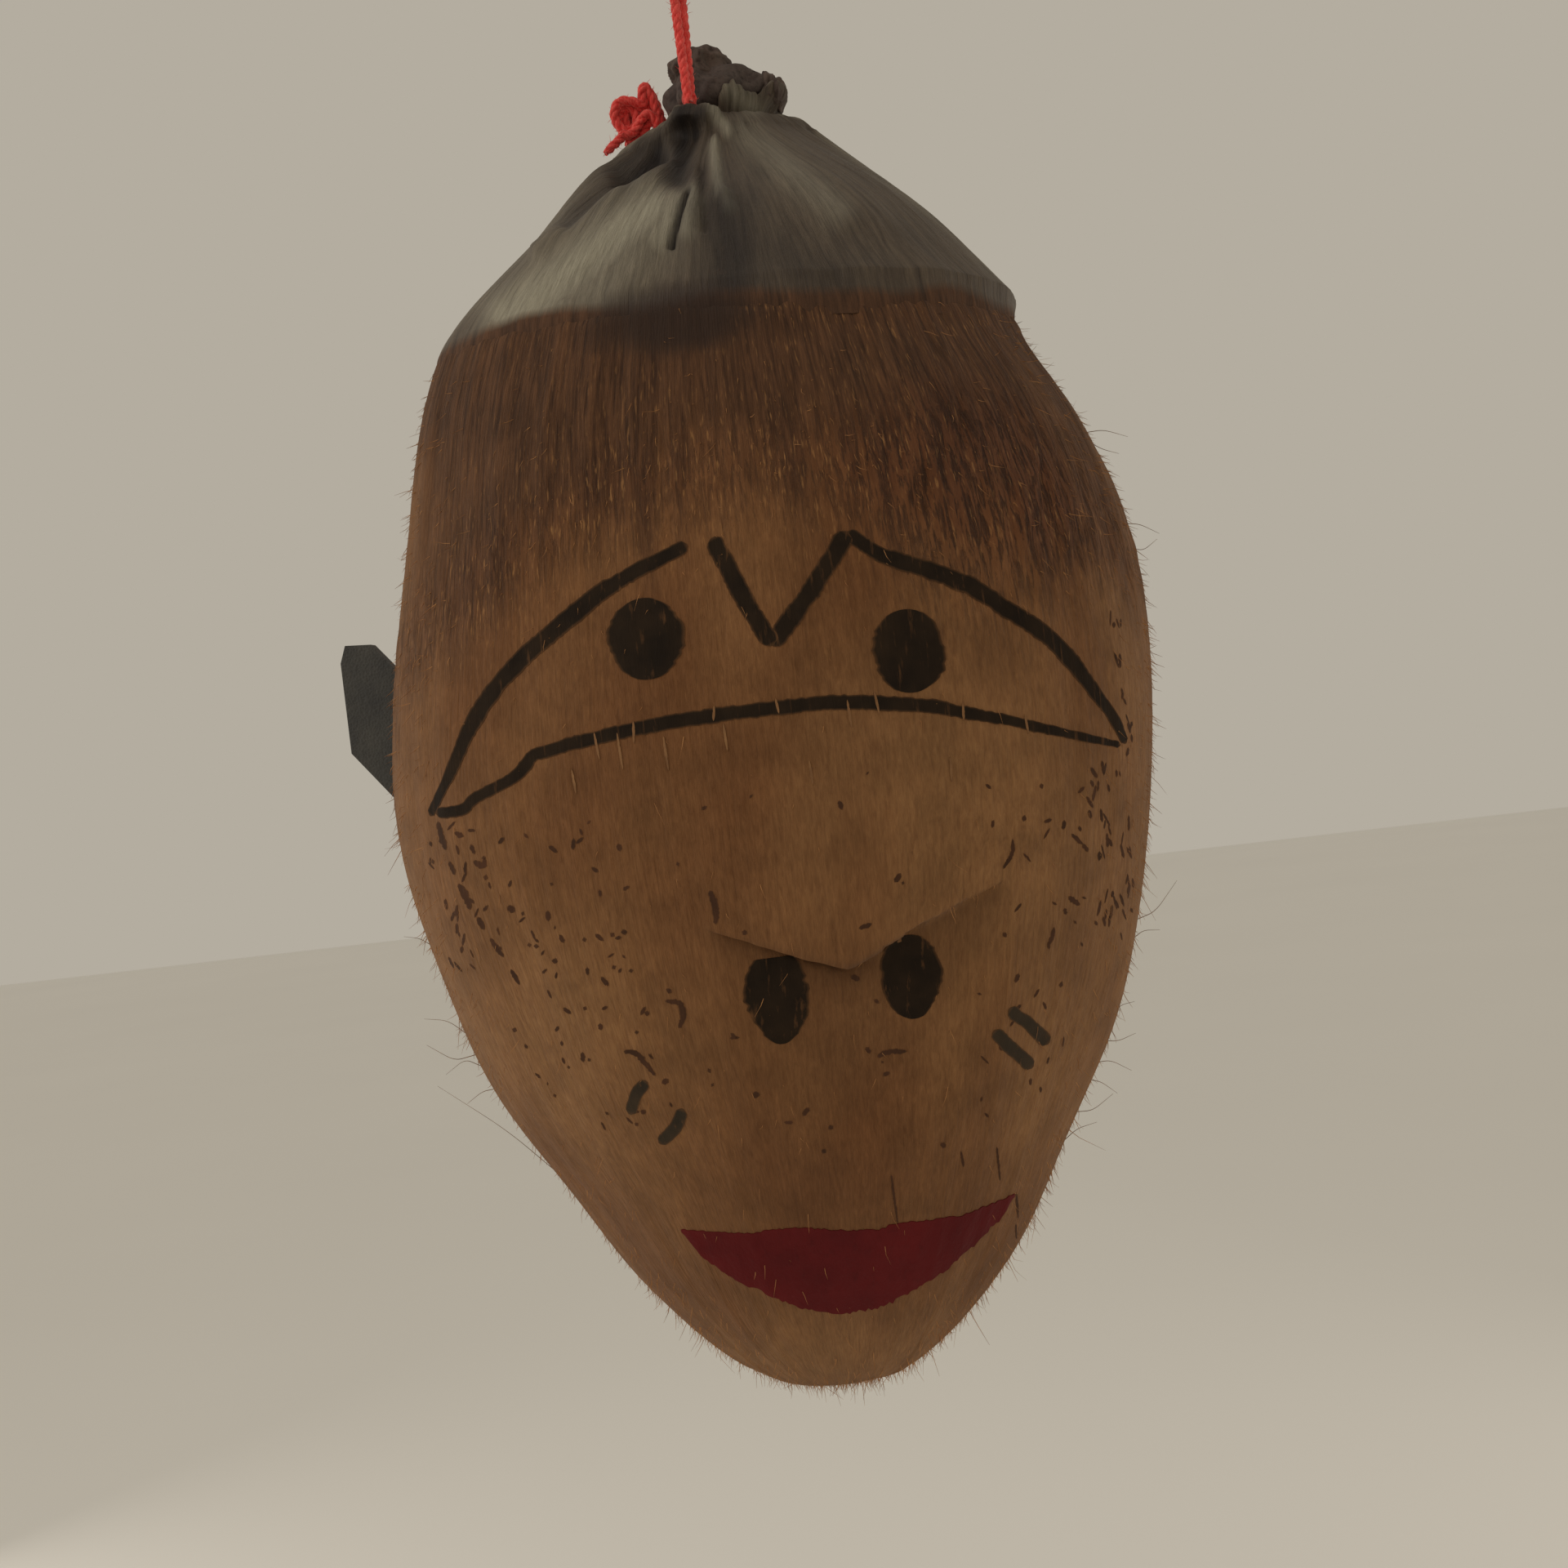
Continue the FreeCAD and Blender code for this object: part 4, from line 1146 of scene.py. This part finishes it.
def build_marks(husk, marker, faint, paint, brown, light):
    face = Face(husk)
    mark(face, "brow_left_ink", [stroke_grid(BROW_LEFT, 3.2, 1, (0.5, 0.7))], "brow_line_left", marker)
    mark(face, "brow_right_ink", [stroke_grid(BROW_RIGHT, 3.1, 2, (0.8, 0.6))], "brow_line_right", marker)
    legs = [stroke_grid(line, 3.1, 3 + k) for k, line in enumerate(NOTCH)]
    mark(face, "notch_ink", legs, "brow_notch", marker)
    mark(face, "mask_line_ink", [stroke_grid(MASK_LINE, 2.4, 5, (0.8, 0.5), 0.1)], "mask_line", marker)
    mark(face, "left_eye_ink", [oval_grid((-16.4, 108.4), (6.3, 6.7), 6)], "left_eye", marker)
    mark(face, "right_eye_ink", [oval_grid((25.7, 115.2), (6.1, 6.8), 7)], "right_eye", marker)
    nostril = oval_grid((-1.8, 169.0), (6.0, 8.0), 8, 0.25, 162.3)
    mark(face, "left_nostril_ink", [nostril], "left_nostril", marker)
    mark(face, "right_nostril_ink", [oval_grid((20.5, 168.6), (5.8, 7.2), 9, 0.2)], "right_nostril", marker)
    left = [stroke_grid(line, 2.2, 10 + k) for k, line in enumerate(CHEEK_LEFT)]
    mark(face, "left_cheek_ink", left, "cheek_marks_left", faint)
    right = [stroke_grid(line, 2.3, 12 + k) for k, line in enumerate(CHEEK_RIGHT)]
    mark(face, "right_cheek_ink", right, "cheek_marks_right", faint)
    mark(face, "mouth_red", [mouth_grid()], "mouth_paint", paint, "red_paint", 0.15)
    specks = SQUIGGLES + [([(x, a), (x + 0.3, b)], 0.45) for x, a, b in CRACKS]
    specks += scattered(75, 101, (-51, -24), (136, 190), 0.2)
    specks += scattered(22, 102, (-20, 40), (130, 206), 0.1)
    specks += scattered(34, 103, (36, 55), (138, 196), 0.4)
    specks += scattered(46, 104, (54, 63.5), (137, 170), 0.85)
    specks += scattered(16, 106, (62.5, 65), (112, 136), 0.9)
    specks += scattered(22, 105, (-60, -51), (134, 160), 0.7)
    grids = small_grids(specks, 200, (0.6, 0.5), 0.3)
    mark(face, "face_specks", grids, None, brown, "coir_husk", 0.05)
    ticks = [([(x, a), (x + lean, b)], 0.4) for x, a, b, lean in TICKS]
    grids = small_grids(ticks, 300, (0.5, 0.4), 0.2)
    mark(face, "fibre_ticks", grids, None, light, "coir_husk", 0.14)


# ---------------------------------------------------------------- loose fibres
def strands(name, roots, ways, bends, lengths, radii, material):
    """Thin three-sided hairs, each with three rings and a narrow tip."""
    count = len(roots)
    shares = np.array([0.0, 0.5, 1.0])
    spine = roots[:, None] + ways[:, None] * (lengths[:, None] * shares)[:, :, None]
    spine = spine + bends[:, None] * (lengths[:, None] * shares ** 2)[:, :, None]
    side = np.cross(ways, (0.31, 0.62, 0.72))
    side /= np.linalg.norm(side, axis=1, keepdims=True)
    other = np.cross(ways, side)
    taper = np.array([1.0, 0.75, 0.25])
    rings = []
    for k in range(3):
        turn = 2 * math.pi * k / 3
        out = side * math.cos(turn) + other * math.sin(turn)
        rings.append(spine + out[:, None] * (radii[:, None] * taper)[:, :, None])
    points = np.stack(rings, 2).reshape(-1, 3)
    faces = []
    for n in range(count):
        start = n * 9
        faces += [f[::-1] for f in grid_faces(3, 3, True, start)]
        faces += [(start, start + 1, start + 2), (start + 8, start + 7, start + 6)]
    hairs = mesh_object(name, points, faces, material)
    declare(hairs, "head", "coir_husk")


def husk_samples(husk, count, seed, weight):
    """Seeded points on the husk with their normals, more of them where weight is high."""
    draw = np.random.default_rng(seed)
    mesh = husk.data
    co = np.array([v.co for v in mesh.vertices])
    normal = np.array([v.normal for v in mesh.vertices])
    share = weight(co, normal)
    chosen = draw.choice(len(co), count, p=share / share.sum())
    return co[chosen], normal[chosen], draw


def build_fuzz(husk, material):
    def weight(co, normal):
        drop = (HOLE.z - co[:, 2]) / MM
        x = co[:, 0] / MM
        facing = step(-normal[:, 1], 0.35, 0.8)
        rough = np.exp(-(((drop - forehead_line(x) + 10) / 14) ** 2))
        share = 1.0 - 0.93 * facing + 0.5 * facing * rough
        return share * step(drop, CAP_DROP + 1, CAP_DROP + 12)

    count = 12500
    roots, normal, draw = husk_samples(husk, count, 81, weight)
    down = np.tile((0.0, 0.0, -1.0), (count, 1))
    down -= normal * (down * normal).sum(1, keepdims=True)
    stand = draw.uniform(0.2, 1.1, (count, 1))
    ways = down + normal * stand + draw.normal(0, 0.28, (count, 3))
    ways /= np.linalg.norm(ways, axis=1, keepdims=True)
    bends = draw.normal(0, 0.22, (count, 3))
    lengths = draw.gamma(2.0, 0.55, count) * MM + 0.6 * MM
    radii = draw.uniform(0.045, 0.08, count) * MM
    strands("husk_fuzz", roots - normal * 0.2 * MM, ways, bends, lengths, radii, material)


# long stray hairs: root x and drop, outward x, drop of the tip, and how far it bows
STRAYS = [
    (60.5, 74, 8.5, 76, 1.0), (61.0, 75, 6.0, 79, -0.6), (66.5, 92, 6.5, 95, 0.8), (67.5, 97, 5.0, 96, -1.2),
    (66.0, 168, 9.0, 161, -2.0), (64.5, 172, 6.0, 170, 1.2), (58.5, 186, 5.0, 183, 1.0),
    (57.0, 190, 6.5, 189, -0.8), (55.0, 194, 7.0, 196, 1.2), (53.0, 197, 5.5, 200, 0.9),
    (50.0, 203, 8.0, 200, -1.4), (46.0, 209, 7.5, 205, 1.0), (-57.5, 176, -8.5, 171, 1.6),
    (-56.0, 179, -9.5, 176, -2.2), (-55.0, 182, -7.5, 182, 2.4), (-53.0, 186, -6.0, 188, 0.9),
    (-41.0, 207, -24.0, 184, 1.5), (-63.0, 158, -5.5, 155, 0.8),
]


def build_strays(husk, material):
    """Hair-thin fibres that stand well off the outline."""
    tree = skin_tree(husk)
    points, faces = [], []
    for x, drop, out, tip_drop, bow in STRAYS:
        side = math.copysign(1, x)
        root = tree.ray_cast(at(side * 140, -8, drop), Vector((-side, 0, 0)), 0.2)[0]
        tip = root + Vector((out * MM, -2 * MM, (drop - tip_drop) * MM))
        control = (root + tip) / 2 + Vector((0, 0, bow * MM))
        line = curve_points([root, root * 0.6 + control * 0.4, control, tip * 0.7 + control * 0.3, tip], 8)
        width = np.linspace(0.08, 0.025, len(line)) * MM
        tube(line, width, points, faces, 4)
    piece = mesh_object("stray_hairs", points, faces, material)
    declare(piece, "head", "coir_husk")


# ---------------------------------------------------------------- put together
def finish_node(name, material):
    nodes[name].data.materials.clear()
    nodes[name].data.materials.append(material)


def build_all():
    add_stage()
    red = yarn_red()
    cord, line, length = build_cord(red)
    loop = build_loop(red)
    knot = build_top_knot(red)
    build_hole_turn(red)
    build_tangle(red)
    husk = build_husk(coir_husk())
    build_cap(husk_skin())
    stem = woody("stem_bark", dim(66, 58, 54), dim(40, 33, 31))
    build_lump("stub_bark", "stem_stub", stem, 301, "stem_wood", 0.10)
    calyx = woody("dry_calyx", dim(72, 62, 56), dim(44, 36, 33))
    build_lump("calyx_left", "calyx_lobe_left", calyx, 311, "stem_wood", 0.12)
    build_lump("calyx_right", "calyx_lobe_right", calyx, 321, "stem_wood", 0.12)
    marker = ink("marker_ink", dim(20, 15, 11), dim(30, 22, 15), 0.6)
    faint = ink("faint_marker", dim(34, 29, 23), dim(46, 37, 28), 0.7)
    brown = ink("speck_brown", dim(42, 28, 20), dim(56, 36, 25), 0.3)
    build_marks(husk, marker, faint, red_paint(), brown, hair("pale_fibre", dim(80, 55, 33), dim(98, 70, 43)))
    build_fuzz(husk, hair("husk_hair", dim(100, 66, 38), dim(140, 100, 62)))
    build_strays(husk, hair("stray_hair", dim(74, 50, 32), dim(104, 76, 48)))
    foam = craft_foam()
    glue = dried_glue()
    for side in ("left", "right"):
        finish_node(f"{side}_ear", foam)
        finish_node(f"{side}_ear_glue", glue)
    finish_node("coconut_shell", nut_layer("hard_shell", rgb(96, 62, 36), rgb(52, 31, 18), 0.5))
    finish_node("coconut_kernel", nut_layer("dried_kernel", rgb(232, 224, 204), rgb(206, 190, 158), 0.2))


build_all()


FLOOR_SIZE = 12
FLOOR_Z = -0.58  # metres, well below the lower end


def add_floor():
    bpy.ops.mesh.primitive_plane_add(size=FLOOR_SIZE, location=(0, 0, FLOOR_Z))
    floor = bpy.context.object
    floor.name = "floor"
    g = Graph("pale_floor", 0.9)
    cloud = g.noise(g.position(), 1.2, 3.0)
    floor.data.materials.append(g.finish(g.mix(cloud, rgb(240, 238, 234), rgb(247, 245, 241))))


add_floor()
